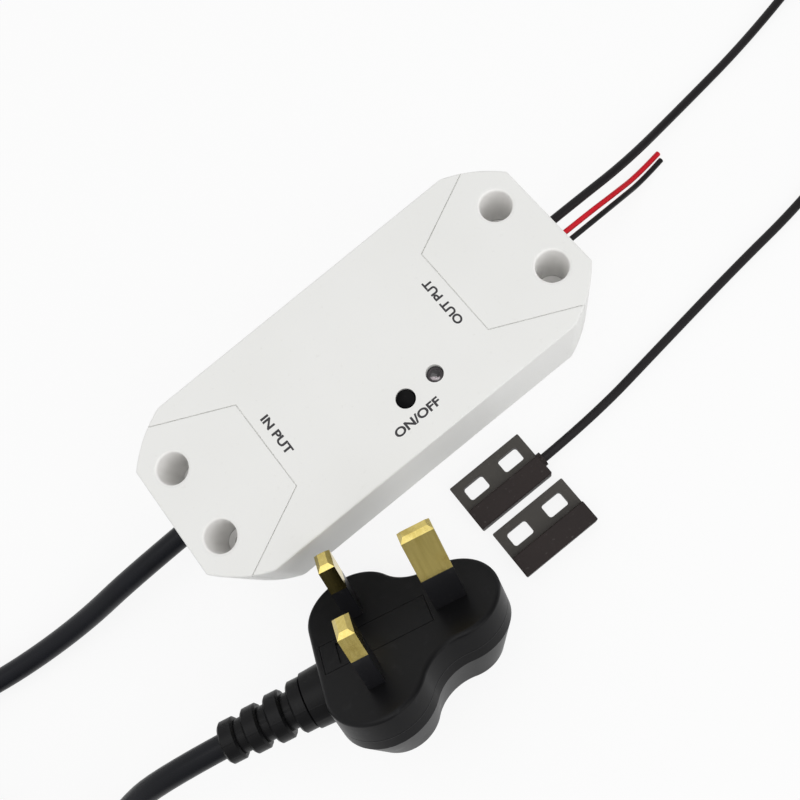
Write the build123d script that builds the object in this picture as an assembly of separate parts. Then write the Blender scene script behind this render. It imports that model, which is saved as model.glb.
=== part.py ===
from build123d import *
import math
import os

os.makedirs("parts", exist_ok=True)

# Garage door controller: a white mains box with a plugged supply lead, two
# relay output wires, and a wired reed sensor with its magnet. Millimetres,
# origin at the centre of the underside, +X towards the output end, +Z up.

# General clearances
fit_gap = 0.15
slide_gap = 0.2
overrun = 10.0

# Housing outline and walls
housing_length = 120.0
housing_width = 52.0
housing_height = 27.0
end_flat = 32.0
corner_cut = 13.9
cut_bow = 1.1
side_corner_radius = 4.0
end_corner_radius = 0.8
top_edge_radius = 0.5
wall = 2.0
roof = 2.0
base_thickness = 2.4
base_edge_radius = 0.4

# Seams between the top cover and the two end covers, from the ends and sides
seam_inset = 30.1
seam_half_width = 13.1
seam_side_inset_x = 10.4
seam_side_inset_y = 3.3
seam_gap = 0.3
lap_inside = 1.5
lap_outside = 1.8
lap_thickness = 1.2

# Mounting wells, one pair through each end cover
well_inset = 8.0
well_spacing_y = 21.5
well_bore = 8.3
well_wall = 1.3
well_rim_radius = 0.9
boss_top = 6.6
spigot_height = 3.0
fixing_hole = 4.5

# Base rim that the covers stand over
rim_thickness = 1.2
rim_height = 3.0

# Screws from the underside into the top cover, from the ends and sides
cover_screw_inset_x = 34.5
cover_screw_inset_y = 6.7
cover_boss = 6.4
cover_boss_bottom = 4.9
cover_pilot = 2.7
cover_pilot_depth = 12.0
cover_screw_shank = 2.5
cover_screw_length = 10.0
cover_screw_head = 5.2
cover_screw_head_height = 1.8
cover_recess = 6.0
cover_recess_depth = 2.4
recess_post_wall = 1.3

# Circuit board and its posts; its gaps are to the housing's ends and inner sides
board_end_gap = 23.6
board_side_gap = 1.9
board_thickness = 1.6
board_bottom = 7.0
board_corner_radius = 1.0
board_screw_inset_x = 3.4
board_screw_inset_y = 4.6
board_post = 5.4
board_pilot = 1.8
board_hole = 2.6
board_screw_shank = 1.6
board_screw_length = 6.0
board_screw_head = 4.2
board_screw_head_height = 1.5
screw_edge_share = 0.3
boss_notch = 0.7

# Bulkheads inside the top cover, from the ends
bulkhead_inset = 32.4
bulkhead_thickness = 1.5
bulkhead_clearance = 0.6

# Cable exits and clamps
exit_height = 13.4
mains_diameter = 6.0
sensor_cable_diameter = 2.4
wire_diameter = 1.5
sensor_exit_y = 2.8
cable_gap = 0.1
input_slot_half = 4.5
output_slot_half = 6.4
tongue_back = 1.2
tongue_lap = 0.9
clamp_inset = 18.8
clamp_depth = 4.4
sheath_lap = 0.8
clamp_half_width = 9.2
clamp_split = 0.5
clamp_bar_height = 4.4
clamp_screw_y = 7.6
clamp_pilot = 2.1
clamp_screw_shank = 1.9
clamp_screw_length = 8.0
clamp_screw_head = 3.2
clamp_screw_head_height = 1.6
clamp_hole = 2.3

# Terminal blocks
terminal_depth = 7.6
terminal_headroom = 5.9
terminal_chamfer = 2.4
terminal_end_wall = 1.2
input_pitch = 5.08
output_pitch = 2.54
output_shift = -0.6
input_ways = 2
output_ways = 4
input_entry = 3.0
output_entry = 1.8
entry_depth = 2.4
terminal_screw_share = 0.72
terminal_screw_height = 3.0
terminal_screw_recess = 0.6
terminal_screw_inset = 4.6
terminal_slot_width = 0.6
terminal_slot_depth = 0.7

# Conductors inside the housing
mains_core_diameter = 2.0
mains_core_spread = 1.35
sensor_core_diameter = 1.0
sensor_core_spread = 0.6
core_straight = 0.8

# Button and its switch
button_x = 3.8
button_y = -13.4
button_hole = 5.1
button_diameter = 4.7
button_recess = 0.3
button_dish = 0.25
button_edge_radius = 0.4
button_flange = 7.0
button_flange_thickness = 1.0
button_stem = 3.4
button_travel = 0.5
guide_wall = 1.2
guide_length = 4.6
switch_size = 6.0
switch_height = 3.8
switch_corner = 0.5
plunger_diameter = 3.3
plunger_rise = 2.2
plunger_depth = 1.0

# Status light and its guide
light_x = 13.1
light_y = -13.1
light_hole = 4.5
light_guide_diameter = 4.2
light_recess = 1.0
light_collar = 5.8
light_collar_thickness = 1.2
light_dome = 0.5
led_length = 3.5
led_width = 2.8
led_height = 1.9
led_dome = 1.0
light_air_gap = 0.2

# Relay, from the output terminal and the board's edge
relay_gap = 6.8
relay_edge_gap = 4.4
relay_length = 19.0
relay_width = 15.4
relay_headroom = 1.2
relay_edge_radius = 0.6
relay_seam_height = 1.4
relay_seam_depth = 0.25

# Transformer, from the relay and the board's edge
transformer_gap = 4.5
transformer_edge_gap = 6.3
core_length = 16.0
core_depth = 5.0
core_headroom = 2.4
core_leg = 2.6
core_centre_leg = 4.0
bobbin_rail_height = 2.0
bobbin_rail_width = 12.6
winding_gap = 0.1
winding_depth = 11.6
winding_radius = 1.2

# Capacitors: two bulk ones from the input terminal, one small one beside them
bulk_diameter = 8.0
bulk_headroom = 3.4
bulk_gap = 8.8
bulk_edge_gap = 2.9
bulk_pitch = 9.6
output_capacitor_diameter = 6.3
output_capacitor_headroom = 5.4
output_capacitor_gap = 4.25
crimp_height = 1.6
crimp_depth = 0.35
can_edge_chamfer = 0.4

# Fusible resistor and varistor beside the mains terminal
resistor_gap = 4.5
resistor_y = 7.2
resistor_diameter = 3.4
resistor_length = 9.0
resistor_neck = 2.8
resistor_lift = 0.6
lead_wire = 0.7
lead_pitch = 12.0
varistor_gap = 3.9
varistor_y = -7.6
varistor_diameter = 8.6
varistor_thickness = 3.4
varistor_lift = 1.4
varistor_lead_pitch = 5.0
varistor_edge_chamfer = 0.7

# Surface-mounted chips: centre x, centre y, length, width, height
chip_unit = 5.0
# Place, length, width and height of each chip as shares of the chip unit
chip_shares = ((-1.72, -1.28, 1.28, 0.88, 0.44), (1.2, -0.72, 1.0, 0.8, 0.3), (2.8, -0.84, 0.92, 1.28, 0.6))
chip_chamfer = 0.3

# Upright radio board, from the board's end and edge
radio_inset = 15.9
radio_edge_gap = 2.0
radio_width = 19.0
radio_headroom = 2.0
radio_thickness = 0.8
shield_width = 12.0
shield_depth = 2.2
shield_margin = 2.0
shield_shift = 2.6
shield_corner_radius = 0.8

# Coils of put-away cord
coil_gap = 0.6
tie_thickness = 0.8
tie_gap = 0.2
tie_head_share = 0.8
mains_coil_x = -193.0
mains_coil_y = -30.0
mains_coil_mean = 33.0
mains_coil_turns = 4.5
mains_coil_sides = 8
mains_tie_width = 7.0
sensor_coil_x = 190.0
sensor_coil_y = -2.0
sensor_coil_mean = 14.4
sensor_coil_turns = 7.5
sensor_coil_sides = 6
sensor_tie_width = 4.0
cord_sides = 8
floor_gap = 0.1
mains_coil_lead = 24.0
mains_tail_lead = 23.0
sensor_coil_lead = 14.0
plug_lead = 38.0

# Moulded plug with three flat pins, in its own frame: x from the live to the
# neutral pin, y towards the earth pin, z out of the pin face, origin midway
pin_spacing = 22.2
earth_offset = 22.2
power_pin_width = 6.35
power_pin_height = 4.0
power_pin_length = 17.7
earth_pin_width = 4.0
earth_pin_height = 8.0
earth_pin_length = 22.7
pin_tip_chamfer = 1.0
pin_foot = 7.0
sleeve_wall = 0.6
sleeve_reach = 9.5
sleeve_foot = 2.0
lobe_radius = 12.2
waist_radius = 11.0
plug_rim_depth = 9.0
plug_depth = 19.0
grip_lobe_radius = 8.4
grip_reach_share = 0.9
plug_face_radius = 1.0
plug_back_radius = 2.4
neck_radius = 7.4
neck_end_radius = 6.8
neck_length = 5.6
cord_level = 9.6
relief_ribs = 4
rib_length = 3.9
rib_groove = 2.2
rib_radius = 6.3
rib_tip_radius = 5.1
rib_web_radius = 4.4
rib_round = 0.5
carrier_width = 9.0
carrier_length = 27.4
carrier_lid = 1.6
carrier_depth = 8.6
carrier_wall = 1.2
carrier_slot_width = 1.0
carrier_slot_depth = 0.5
carrier_centre_y = -4.2
fuse_diameter = 6.3
fuse_length = 25.4
fuse_cap_length = 5.6
fuse_cap_step = 0.15

# How the plug lies: on the edge of its grip, pins leaning up and away
plug_x = -32.0
plug_y = -53.0
plug_heading = -12.0
plug_pitch = -4.0
plug_lean = 43.0

# Reed sensor and magnet, twin slotted blocks
block_length = 23.0
block_width = 13.9
block_height = 5.9
flange_width = 8.0
flange_height = 2.8
slot_length = 6.2
slot_width = 4.0
slot_spacing = 11.5
slot_edge = 4.2
slot_corner_radius = 0.8
block_edge_radius = 0.35
sensor_x = 9.6
sensor_y = -40.25
magnet_x = 10.8
magnet_y = -56.35
sensor_cable_y = -42.6
cable_boss_radius = 2.0
cable_boss_length = 1.0
cable_boss_height = 2.6
cable_socket = 3.0
reed_diameter = 2.2
reed_length = 14.0
reed_lead = 0.5
reed_lead_length = 2.4
magnet_bar_width = 4.0
magnet_bar_length = 14.0
cavity_gap = 0.1

half_length = housing_length / 2
half_width = housing_width / 2
ceiling = housing_height - roof
well_outer = well_bore + 2 * well_wall
well_x = half_length - well_inset
seam_x = half_length - seam_inset
seam_side_x = half_length - seam_side_inset_x
seam_side_y = half_width - seam_side_inset_y
cover_screw_x = half_length - cover_screw_inset_x
cover_screw_y = half_width - cover_screw_inset_y
bulkhead_x = half_length - bulkhead_inset
clamp_x = half_length - clamp_inset
sheath_end_x = clamp_x - sheath_lap
board_top = board_bottom + board_thickness
board_half = half_length - board_end_gap
board_half_width = half_width - wall - board_side_gap
board_screw_x = board_half - board_screw_inset_x
board_screw_y = board_half_width - board_screw_inset_y
headroom = ceiling - board_top
terminal_height = headroom - terminal_headroom
relay_x = board_half - terminal_depth - relay_gap - relay_length / 2
relay_y = board_half_width - relay_edge_gap - relay_width / 2
transformer_x = relay_x - relay_length / 2 - transformer_gap - core_length / 2
transformer_y = board_half_width - transformer_edge_gap - bobbin_rail_width / 2
core_height = headroom - bobbin_rail_height - core_headroom
bulk_x = terminal_depth + bulk_gap + bulk_diameter / 2 - board_half
bulk_y = bulk_edge_gap + bulk_diameter / 2 - board_half_width
output_capacitor_x = bulk_x + (bulk_diameter + output_capacitor_diameter) / 2 + output_capacitor_gap
resistor_x = terminal_depth + resistor_gap + resistor_diameter / 2 - board_half
varistor_x = terminal_depth + varistor_gap + varistor_thickness / 2 - board_half
radio_x = board_half - radio_inset
radio_y = radio_edge_gap + radio_width / 2 - board_half_width
radio_height = headroom - radio_headroom
terminals = {
    -1: (input_ways, input_pitch, input_entry, 0.0),
    1: (output_ways, output_pitch, output_entry, output_shift),
}
ends = (-1, 1)
quadrants = [(sx, sy) for sx in ends for sy in ends]


def upright(x, y, low, high, diameter):
    """Round solid standing on the plane z = low."""
    return Pos(x, y, low) * extrude(Circle(diameter / 2), high - low)


def block(x_range, y_range, z_range):
    """Rectangular solid between three pairs of limits."""
    sizes = [high - low for low, high in (x_range, y_range, z_range)]
    return Pos(x_range[0], y_range[0], z_range[0]) * Box(*sizes, align=Align.MIN)


def along_x(y, z, low, high, diameter):
    """Round solid lying along X."""
    return Pos(low, y, z) * Rot(0, 90, 0) * extrude(Circle(diameter / 2), high - low)


def slab(face, low, high):
    """Solid of a flat outline between two heights."""
    return extrude(Pos(0, 0, low) * face, high - low)


def turned(profile_points):
    """Solid turned about Z from a half profile of (radius, height) points."""
    return revolve(Plane.XZ * make_face(Polyline(*profile_points, close=True)), Axis.Z)


def save(name, shape):
    """Write one node's solids to its file."""
    solids = shape.solids() if hasattr(shape, "solids") else [s for item in shape for s in item.solids()]
    export_step(Compound(children=[Solid(s.wrapped) for s in solids]), f"parts/{name}.step")


# Housing

def housing_outline(inset=0.0):
    """Outline with flat ends and four bowed corner cuts, shrunk by the inset."""
    end_point = Vector(half_length, end_flat / 2)
    side_point = Vector(half_length - corner_cut, half_width)
    chord = side_point - end_point
    outward = Vector(chord.Y, -chord.X).normalized()
    bow_point = (end_point + side_point) / 2 + outward * cut_bow
    cuts = []
    for sx, sy in quadrants:
        end, bow, side = [Vector(sx * p.X, sy * p.Y) for p in (end_point, bow_point, side_point)]
        cuts.append(ThreePointArc(end, bow, side))
    flats = []
    for s in ends:
        flats.append(Line((-side_point.X, s * side_point.Y), (side_point.X, s * side_point.Y)))
        flats.append(Line((s * end_point.X, -end_point.Y), (s * end_point.X, end_point.Y)))
    face = make_face(Curve() + cuts + flats)
    if inset:
        face = offset(face, -inset, kind=Kind.INTERSECTION)
    middle_x = (end_point.X + side_point.X) / 2
    side_corners = face.vertices().filter_by(lambda v: abs(v.X) < middle_x)
    face = fillet(side_corners, side_corner_radius - inset)
    if end_corner_radius > inset:
        end_corners = face.vertices().filter_by(lambda v: abs(abs(v.Y) - end_flat / 2) < fit_gap)
        face = fillet(end_corners, end_corner_radius - inset)
    return face


def end_region(end, shrink):
    """Plan of one end cover, reaching past the housing, with its seam moved in by the shrink."""
    slope = (seam_side_y - seam_half_width) / (seam_side_x - seam_x)
    far_x = half_length + overrun
    far_y = seam_half_width + slope * (far_x - seam_x)
    points = [(end * seam_x, -seam_half_width), (end * far_x, -far_y), (end * far_x, far_y),
              (end * seam_x, seam_half_width)]
    return offset(make_face(Polyline(*points, close=True)), -shrink, kind=Kind.INTERSECTION)


def well_places():
    return [(sx * well_x, sy * well_spacing_y / 2) for sx, sy in quadrants]


def terminal_way_y(end, way):
    ways, pitch, _, shift = terminals[end]
    return shift + (way - (ways - 1) / 2) * pitch


def cable_places(end):
    """(y, diameter) of each cable through one end wall; the two wires run straight from their terminals."""
    if end < 0:
        return [(0, mains_diameter)]
    wires = [(terminal_way_y(end, way), wire_diameter) for way in (0, 1)]
    return [(sensor_exit_y, sensor_cable_diameter)] + wires


def slot_half(end):
    return input_slot_half if end < 0 else output_slot_half


def sided(end, near, far):
    """X range on one end of the housing, from the near to the far distance."""
    return (near, far) if end > 0 else (-far, -near)


def cable_bores(end, low, high, clearance):
    x_range = sided(end, low, high)
    return [along_x(y, exit_height, *x_range, d + 2 * clearance) for y, d in cable_places(end)]


def cover_shell():
    """Upper shell of the whole housing with its four well tubes, before it is split."""
    shell = slab(housing_outline(), base_thickness, housing_height)
    shell = fillet(shell.faces().sort_by(Axis.Z)[-1].edges(), top_edge_radius)
    shell -= slab(housing_outline(wall), base_thickness, ceiling)
    for x, y in well_places():
        shell += upright(x, y, boss_top, ceiling, well_outer)
        shell -= upright(x, y, boss_top, housing_height, well_bore)
    rims = [e for e in shell.edges().filter_by(GeomType.CIRCLE)
            if abs(e.center().Z - housing_height) < fit_gap and abs(e.radius - well_bore / 2) < fit_gap]
    return fillet(rims, well_rim_radius)


def end_cover(end, shell):
    cover = shell & slab(end_region(end, seam_gap / 2), 0, housing_height + overrun)
    half = slot_half(end)
    wall_x = sided(end, half_length - wall - fit_gap, half_length + overrun)
    cover -= block(wall_x, (-half, half), (0, exit_height))
    for bore in cable_bores(end, half_length - wall - fit_gap, half_length + overrun, cable_gap):
        cover -= bore
    return cover


def top_cover(shell):
    cover = shell
    inner = housing_outline(wall + fit_gap)
    rib_zone = inner - housing_outline(wall + fit_gap + lap_thickness)
    for end in ends:
        cover -= slab(end_region(end, -seam_gap / 2), 0, housing_height + overrun)
    for end in ends:
        band = end_region(end, -lap_inside) - end_region(end, lap_outside)
        cover += slab(band & inner, ceiling - lap_thickness, ceiling)
        cover += slab(band & rib_zone, base_thickness + rim_height + fit_gap, ceiling)
        bulkhead = block(sided(end, bulkhead_x - bulkhead_thickness, bulkhead_x),
                         (wall / 2 - half_width, half_width - wall / 2),
                         (board_top + bulkhead_clearance, ceiling))
        cover += bulkhead
    for sx, sy in quadrants:
        x, y = sx * cover_screw_x, sy * cover_screw_y
        cover += upright(x, y, cover_boss_bottom, ceiling, cover_boss)
        cover -= upright(x, y, cover_boss_bottom, cover_boss_bottom + cover_pilot_depth, cover_pilot)
    for x, y, hole in ((button_x, button_y, button_hole), (light_x, light_y, light_hole)):
        cover += upright(x, y, ceiling - guide_length, ceiling, hole + 2 * guide_wall)
        cover -= upright(x, y, ceiling - guide_length, housing_height + overrun, hole)
    collar = light_collar + 2 * fit_gap
    cover -= upright(light_x, light_y, ceiling - guide_length,
                     ceiling - guide_length + light_collar_thickness + fit_gap, collar)
    return cover


def base_plate():
    plate = slab(housing_outline(), 0, base_thickness)
    plate = fillet(plate.faces().sort_by(Axis.Z)[0].edges(), base_edge_radius)
    rim = housing_outline(wall + fit_gap) - housing_outline(wall + fit_gap + rim_thickness)
    rim = slab(rim, base_thickness, base_thickness + rim_height)
    for x, y in well_places():
        rim -= upright(x, y, 0, housing_height, well_outer + 2 * slide_gap)
    plate += rim
    for x, y in well_places():
        top = boss_top + spigot_height
        plate += upright(x, y, 0, boss_top, well_outer)
        plate += upright(x, y, boss_top, top, well_bore - 2 * fit_gap)
        plate -= upright(x, y, 0, top, fixing_hole)
    for sx, sy in quadrants:
        plate += upright(sx * board_screw_x, sy * board_screw_y, base_thickness, board_bottom, board_post)
        plate -= upright(sx * board_screw_x, sy * board_screw_y, base_thickness, board_bottom, board_pilot)
        x, y = sx * cover_screw_x, sy * cover_screw_y
        post = cover_recess + 2 * recess_post_wall
        plate += upright(x, y, base_thickness, cover_boss_bottom,
                         post) & slab(housing_outline(wall + fit_gap), 0, housing_height)
        plate -= upright(x, y, 0, cover_recess_depth, cover_recess)
        plate -= upright(x, y, 0, cover_boss_bottom, cover_screw_shank + 2 * slide_gap)
    for end in ends:
        half = slot_half(end)
        tongue = block(sided(end, half_length - wall - fit_gap, half_length),
                       (fit_gap - half, half - fit_gap), (base_thickness, exit_height - fit_gap))
        back = block(sided(end, half_length - wall - fit_gap - tongue_back, half_length - wall - fit_gap),
                     (-half - tongue_lap, half + tongue_lap), (base_thickness, exit_height - fit_gap))
        saddle = block(sided(end, clamp_x, clamp_x + clamp_depth),
                       (-clamp_half_width, clamp_half_width), (base_thickness, exit_height))
        plate += [tongue, back, saddle]
        for bore in cable_bores(end, clamp_x, half_length, cable_gap):
            plate -= bore
        for sy in ends:
            x, y = end * (clamp_x + clamp_depth / 2), sy * clamp_screw_y
            plate -= upright(x, y, exit_height - clamp_screw_length, exit_height, clamp_pilot)
    return plate


def cable_clamp(end):
    """Bar that holds the cables down on the saddle."""
    low = exit_height + clamp_split
    bar = block(sided(end, clamp_x, clamp_x + clamp_depth), (-clamp_half_width, clamp_half_width),
                (low, low + clamp_bar_height))
    bar = chamfer(bar.faces().sort_by(Axis.Z)[-1].edges().filter_by(Axis.X), clamp_split)
    for bore in cable_bores(end, clamp_x, clamp_x + clamp_depth, cable_gap):
        bar -= bore
    for sy in ends:
        bar -= upright(end * (clamp_x + clamp_depth / 2), sy * clamp_screw_y, low,
                       low + clamp_bar_height, clamp_hole)
    return bar


def screw(x, y, seat, head, head_height, shank, length):
    """Screw standing head up on the plane z = seat, its head's edge bevelled."""
    r, top, edge = head / 2, seat + head_height, head_height * screw_edge_share
    profile = [(0, seat - length), (shank / 2, seat - length), (shank / 2, seat), (r, seat),
               (r, top - edge), (r - edge, top), (0, top)]
    return Pos(x, y) * turned(profile)


def cover_screws():
    screws = []
    for sx, sy in quadrants:
        head_up = screw(0, 0, 0, cover_screw_head, cover_screw_head_height, cover_screw_shank,
                        cover_screw_length)
        place = Pos(sx * cover_screw_x, sy * cover_screw_y, cover_recess_depth)
        screws.append(place * Rot(180, 0, 0) * head_up)
    return screws


def clamp_screws():
    seat = exit_height + clamp_split + clamp_bar_height
    length = clamp_bar_height + clamp_split + clamp_screw_length * 3 / 4
    return [screw(end * (clamp_x + clamp_depth / 2), sy * clamp_screw_y, seat, clamp_screw_head,
                        clamp_screw_head_height, clamp_screw_shank, length) for end, sy in quadrants]


def board_screws():
    return [screw(sx * board_screw_x, sy * board_screw_y, board_top, board_screw_head,
                  board_screw_head_height,
                        board_screw_shank, board_screw_length) for sx, sy in quadrants]


# Circuit board and what stands on it

def circuit_board():
    face = fillet(Rectangle(2 * board_half, 2 * board_half_width).vertices(), board_corner_radius)
    for sx, sy in quadrants:
        face -= Pos(sx * board_screw_x, sy * board_screw_y) * Circle(board_hole / 2)
        face -= Pos(sx * cover_screw_x, sy * cover_screw_y) * Circle(cover_boss / 2 + boss_notch)
    for sx, sy in quadrants:
        x = sx * cover_screw_x
        notch = cover_boss / 2 + boss_notch
        face -= Pos(x, sy * board_half_width) * Rectangle(2 * notch, 2 * (board_half_width - cover_screw_y))
    return slab(face, board_bottom, board_top)


def terminal_block(end):
    """Block with a stepped face, one wire entry and one screw shaft for each way."""
    ways, pitch, entry, shift = terminals[end]
    half = ways * pitch / 2 + terminal_end_wall
    near, far = board_half - terminal_depth, board_half
    body = block(sided(end, near, far), (shift - half, shift + half),
                 (board_top, board_top + terminal_height))
    outer_top = body.edges().filter_by(Axis.Y).sort_by(Axis.Z)[-2:].sort_by(Axis.X)[-1 if end > 0 else 0]
    body = chamfer(outer_top, terminal_chamfer)
    for way in range(ways):
        y = terminal_way_y(end, way)
        body -= along_x(y, exit_height, *sided(end, far - entry_depth, far), entry)
        x = end * (far - terminal_screw_inset)
        top = board_top + terminal_height
        body -= upright(x, y, top - terminal_screw_recess - terminal_screw_height, top,
                        pitch * terminal_screw_share)
    return body


def terminal_screws():
    screws = []
    for end in ends:
        ways, pitch, *_ = terminals[end]
        head = pitch * terminal_screw_share - 2 * cavity_gap
        top = board_top + terminal_height - terminal_screw_recess
        for way in range(ways):
            x, y = end * (board_half - terminal_screw_inset), terminal_way_y(end, way)
            slot = extrude(Rectangle(head, terminal_slot_width), terminal_slot_depth)
            slot = Pos(x, y, top - terminal_slot_depth) * slot
            screws.append(upright(x, y, top - terminal_screw_height, top, head) - slot)
    return screws


def button_cap():
    """Dished cap, retaining flange and long stem down to the switch."""
    top = housing_height - button_recess
    flange_top = ceiling - guide_length - slide_gap
    foot = board_top + switch_height + plunger_rise
    cap = upright(0, 0, flange_top, top, button_diameter)
    cap = fillet(cap.faces().sort_by(Axis.Z)[-1].edges(), button_edge_radius)
    dish_radius = ((button_diameter / 2) ** 2 + button_dish ** 2) / (2 * button_dish)
    cap -= Pos(0, 0, top - button_dish + dish_radius) * Sphere(dish_radius)
    cap += upright(0, 0, flange_top - button_flange_thickness, flange_top, button_flange)
    cap += upright(0, 0, foot, flange_top, button_stem)
    return Pos(button_x, button_y) * cap


def push_switch():
    body = extrude(RectangleRounded(switch_size, switch_size, switch_corner), switch_height)
    body = Pos(0, 0, board_top) * body
    hole_bottom = board_top + switch_height - plunger_depth - button_travel - slide_gap
    body -= upright(0, 0, hole_bottom, board_top + switch_height, plunger_diameter + slide_gap)
    return Pos(button_x, button_y) * body


def switch_plunger():
    top = board_top + switch_height + plunger_rise
    return upright(button_x, button_y, board_top + switch_height - plunger_depth, top, plunger_diameter)


def light_guide():
    """Clear rod from the board's light up to just below the top face."""
    top = housing_height - light_recess
    low = board_top + led_height + light_air_gap
    rod = upright(0, 0, low, top - light_dome, light_guide_diameter)
    radius = ((light_guide_diameter / 2) ** 2 + light_dome ** 2) / (2 * light_dome)
    dome_zone = upright(0, 0, top - light_dome, top, light_guide_diameter)
    rod += Pos(0, 0, top - radius) * Sphere(radius) & dome_zone
    rod += upright(0, 0, ceiling - guide_length, ceiling - guide_length + light_collar_thickness,
                   light_collar)
    return Pos(light_x, light_y) * rod


def status_led():
    body = Pos(0, 0, board_top) * extrude(Rectangle(led_length, led_width), led_height / 2)
    body += upright(0, 0, board_top + led_height / 2, board_top + led_height, 2 * led_dome)
    return Pos(light_x, light_y) * body


def relay():
    body = extrude(Rectangle(relay_length, relay_width), headroom - relay_headroom)
    body = Pos(relay_x, relay_y, board_top) * body
    body = fillet(body.edges().filter_by(Axis.Z) + body.faces().sort_by(Axis.Z)[-1].edges(),
                  relay_edge_radius)
    outer, inner = [Rectangle(relay_length - k * relay_seam_depth, relay_width - k * relay_seam_depth)
                    for k in (0, 2)]
    seam = Pos(relay_x, relay_y, board_top + relay_seam_height) * extrude(outer - inner, relay_seam_depth)
    return body - seam


def transformer_core():
    """Upright pair of E halves: a frame with a centre leg, standing on the bobbin's rails."""
    low = board_top + bobbin_rail_height
    core = Pos(transformer_x, transformer_y, low) * extrude(Rectangle(core_length, core_depth), core_height)
    window = (core_length - 2 * core_leg - core_centre_leg) / 2
    for side in ends:
        x = transformer_x + side * (core_centre_leg + window) / 2
        core -= block((x - window / 2, x + window / 2),
                      (transformer_y - core_depth, transformer_y + core_depth),
                      (low + core_leg, low + core_height - core_leg))
    return core


def transformer_bobbin():
    """Winding round the centre leg, on two rails that straddle the core's foot."""
    low = board_top + bobbin_rail_height
    window = (core_length - 2 * core_leg - core_centre_leg) / 2
    outer_x = core_centre_leg + 2 * (window - winding_gap)
    ring = RectangleRounded(outer_x, winding_depth, winding_radius)
    ring -= Rectangle(core_centre_leg + 2 * winding_gap, core_depth + 2 * winding_gap)
    winding_top = low + core_height - core_leg - winding_gap
    winding = Pos(transformer_x, transformer_y) * slab(ring, low + core_leg + winding_gap, winding_top)
    rail_depth = (bobbin_rail_width - core_depth) / 2 - winding_gap
    for side in ends:
        y = transformer_y + side * (bobbin_rail_width - rail_depth) / 2
        rail = Pos(transformer_x, y) * Rectangle(core_length - core_leg, rail_depth)
        winding += slab(rail, board_top, low + core_leg + 2 * winding_gap)
    foot = Pos(transformer_x, transformer_y) * Rectangle(core_length, bobbin_rail_width)
    winding += slab(foot, board_top, low)
    return winding


def capacitor(x, y, diameter, room):
    """Can with a crimped neck above its foot, reaching up to some room under the roof."""
    r, low, top = diameter / 2, board_top, ceiling - room
    crimp = low + crimp_height
    profile = [(0, low), (r, low), (r, crimp - crimp_depth), (r - crimp_depth, crimp),
               (r, crimp + crimp_depth), (r, top), (0, top)]
    can = turned(profile)
    return Pos(x, y) * chamfer(can.faces().sort_by(Axis.Z)[-1].edges(), can_edge_chamfer)


def fuse_resistor():
    """Barrel on two bent leads, lying along Y."""
    r, neck, half = resistor_diameter / 2, resistor_neck / 2, resistor_length / 2
    cap = resistor_length / 6
    profile = [(0, -half), (r, -half), (r, cap - half), (neck, 2 * cap - half), (neck, half - 2 * cap),
               (r, half - cap), (r, half), (0, half)]
    height = board_top + resistor_lift + r
    barrel = Pos(resistor_x, resistor_y, height) * Rot(-90, 0, 0) * turned(profile)
    for side in ends:
        y = resistor_y + side * lead_pitch / 2
        foot = upright(resistor_x, y, board_top, height + lead_wire / 2, lead_wire)
        y_range = sorted((resistor_y + side * half, y))
        wire = extrude(Circle(lead_wire / 2), y_range[1] - y_range[0])
        arm = Pos(resistor_x, y_range[0], height) * Rot(-90, 0, 0) * wire
        barrel += [foot, arm]
    return barrel


def varistor():
    """Coated disc on edge, on two leads."""
    r = varistor_diameter / 2
    middle = Pos(varistor_x - varistor_thickness / 2, varistor_y, board_top + varistor_lift + r)
    disc = middle * Rot(0, 90, 0) * extrude(Circle(r), varistor_thickness)
    disc = chamfer(disc.edges().filter_by(GeomType.CIRCLE), varistor_edge_chamfer)
    for side in ends:
        disc += upright(varistor_x, varistor_y + side * varistor_lead_pitch / 2, board_top,
                        board_top + varistor_lift + r, lead_wire)
    return disc


def surface_chips():
    chips = []
    for shares in chip_shares:
        x, y, length, width, height = [share * chip_unit for share in shares]
        chip = Pos(x, y, board_top) * extrude(Rectangle(length, width), height)
        chips.append(chamfer(chip.faces().sort_by(Axis.Z)[-1].edges(), chip_chamfer))
    return chips


def radio_board():
    return Pos(radio_x, radio_y, board_top) * extrude(Rectangle(radio_thickness, radio_width), radio_height)


def radio_shield():
    """Metal can on the inner face of the upright board."""
    face = RectangleRounded(shield_width, radio_height - 2 * shield_margin, shield_corner_radius)
    centre = (radio_x - radio_thickness / 2, radio_y + shield_shift, board_top + radio_height / 2)
    return extrude(Plane(origin=centre, x_dir=(0, 1, 0), z_dir=(-1, 0, 0)) * face, shield_depth)


# Free cords: straight runs joined by tangent arcs, and coils on biarcs

def corner_radii(points, run_share=0.45):
    """Largest fair radius at each corner of a route."""
    radii = []
    for a, b, c in zip(points, points[1:], points[2:]):
        before, after = Vector(b) - Vector(a), Vector(c) - Vector(b)
        half_turn = math.radians(before.get_angle(after)) / 2
        radii.append(run_share * min(before.length, after.length) / math.tan(half_turn))
    return radii


def tube(name, points, diameter, sides):
    """Cord along a route, with a many-sided section."""
    radii = corner_radii(points)
    path = FilletPolyline(*points, radius=radii)
    section = Plane(origin=path @ 0, z_dir=path % 0) * RegularPolygon(diameter / 2, side_count=sides)
    solid = sweep(section, path=path)
    share = solid.volume / (section.area * path.length)
    print(name, "length", round(path.length, 1), "radii", [round(r, 1) for r in radii], "volume share",
          round(share, 4))
    return solid


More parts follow.
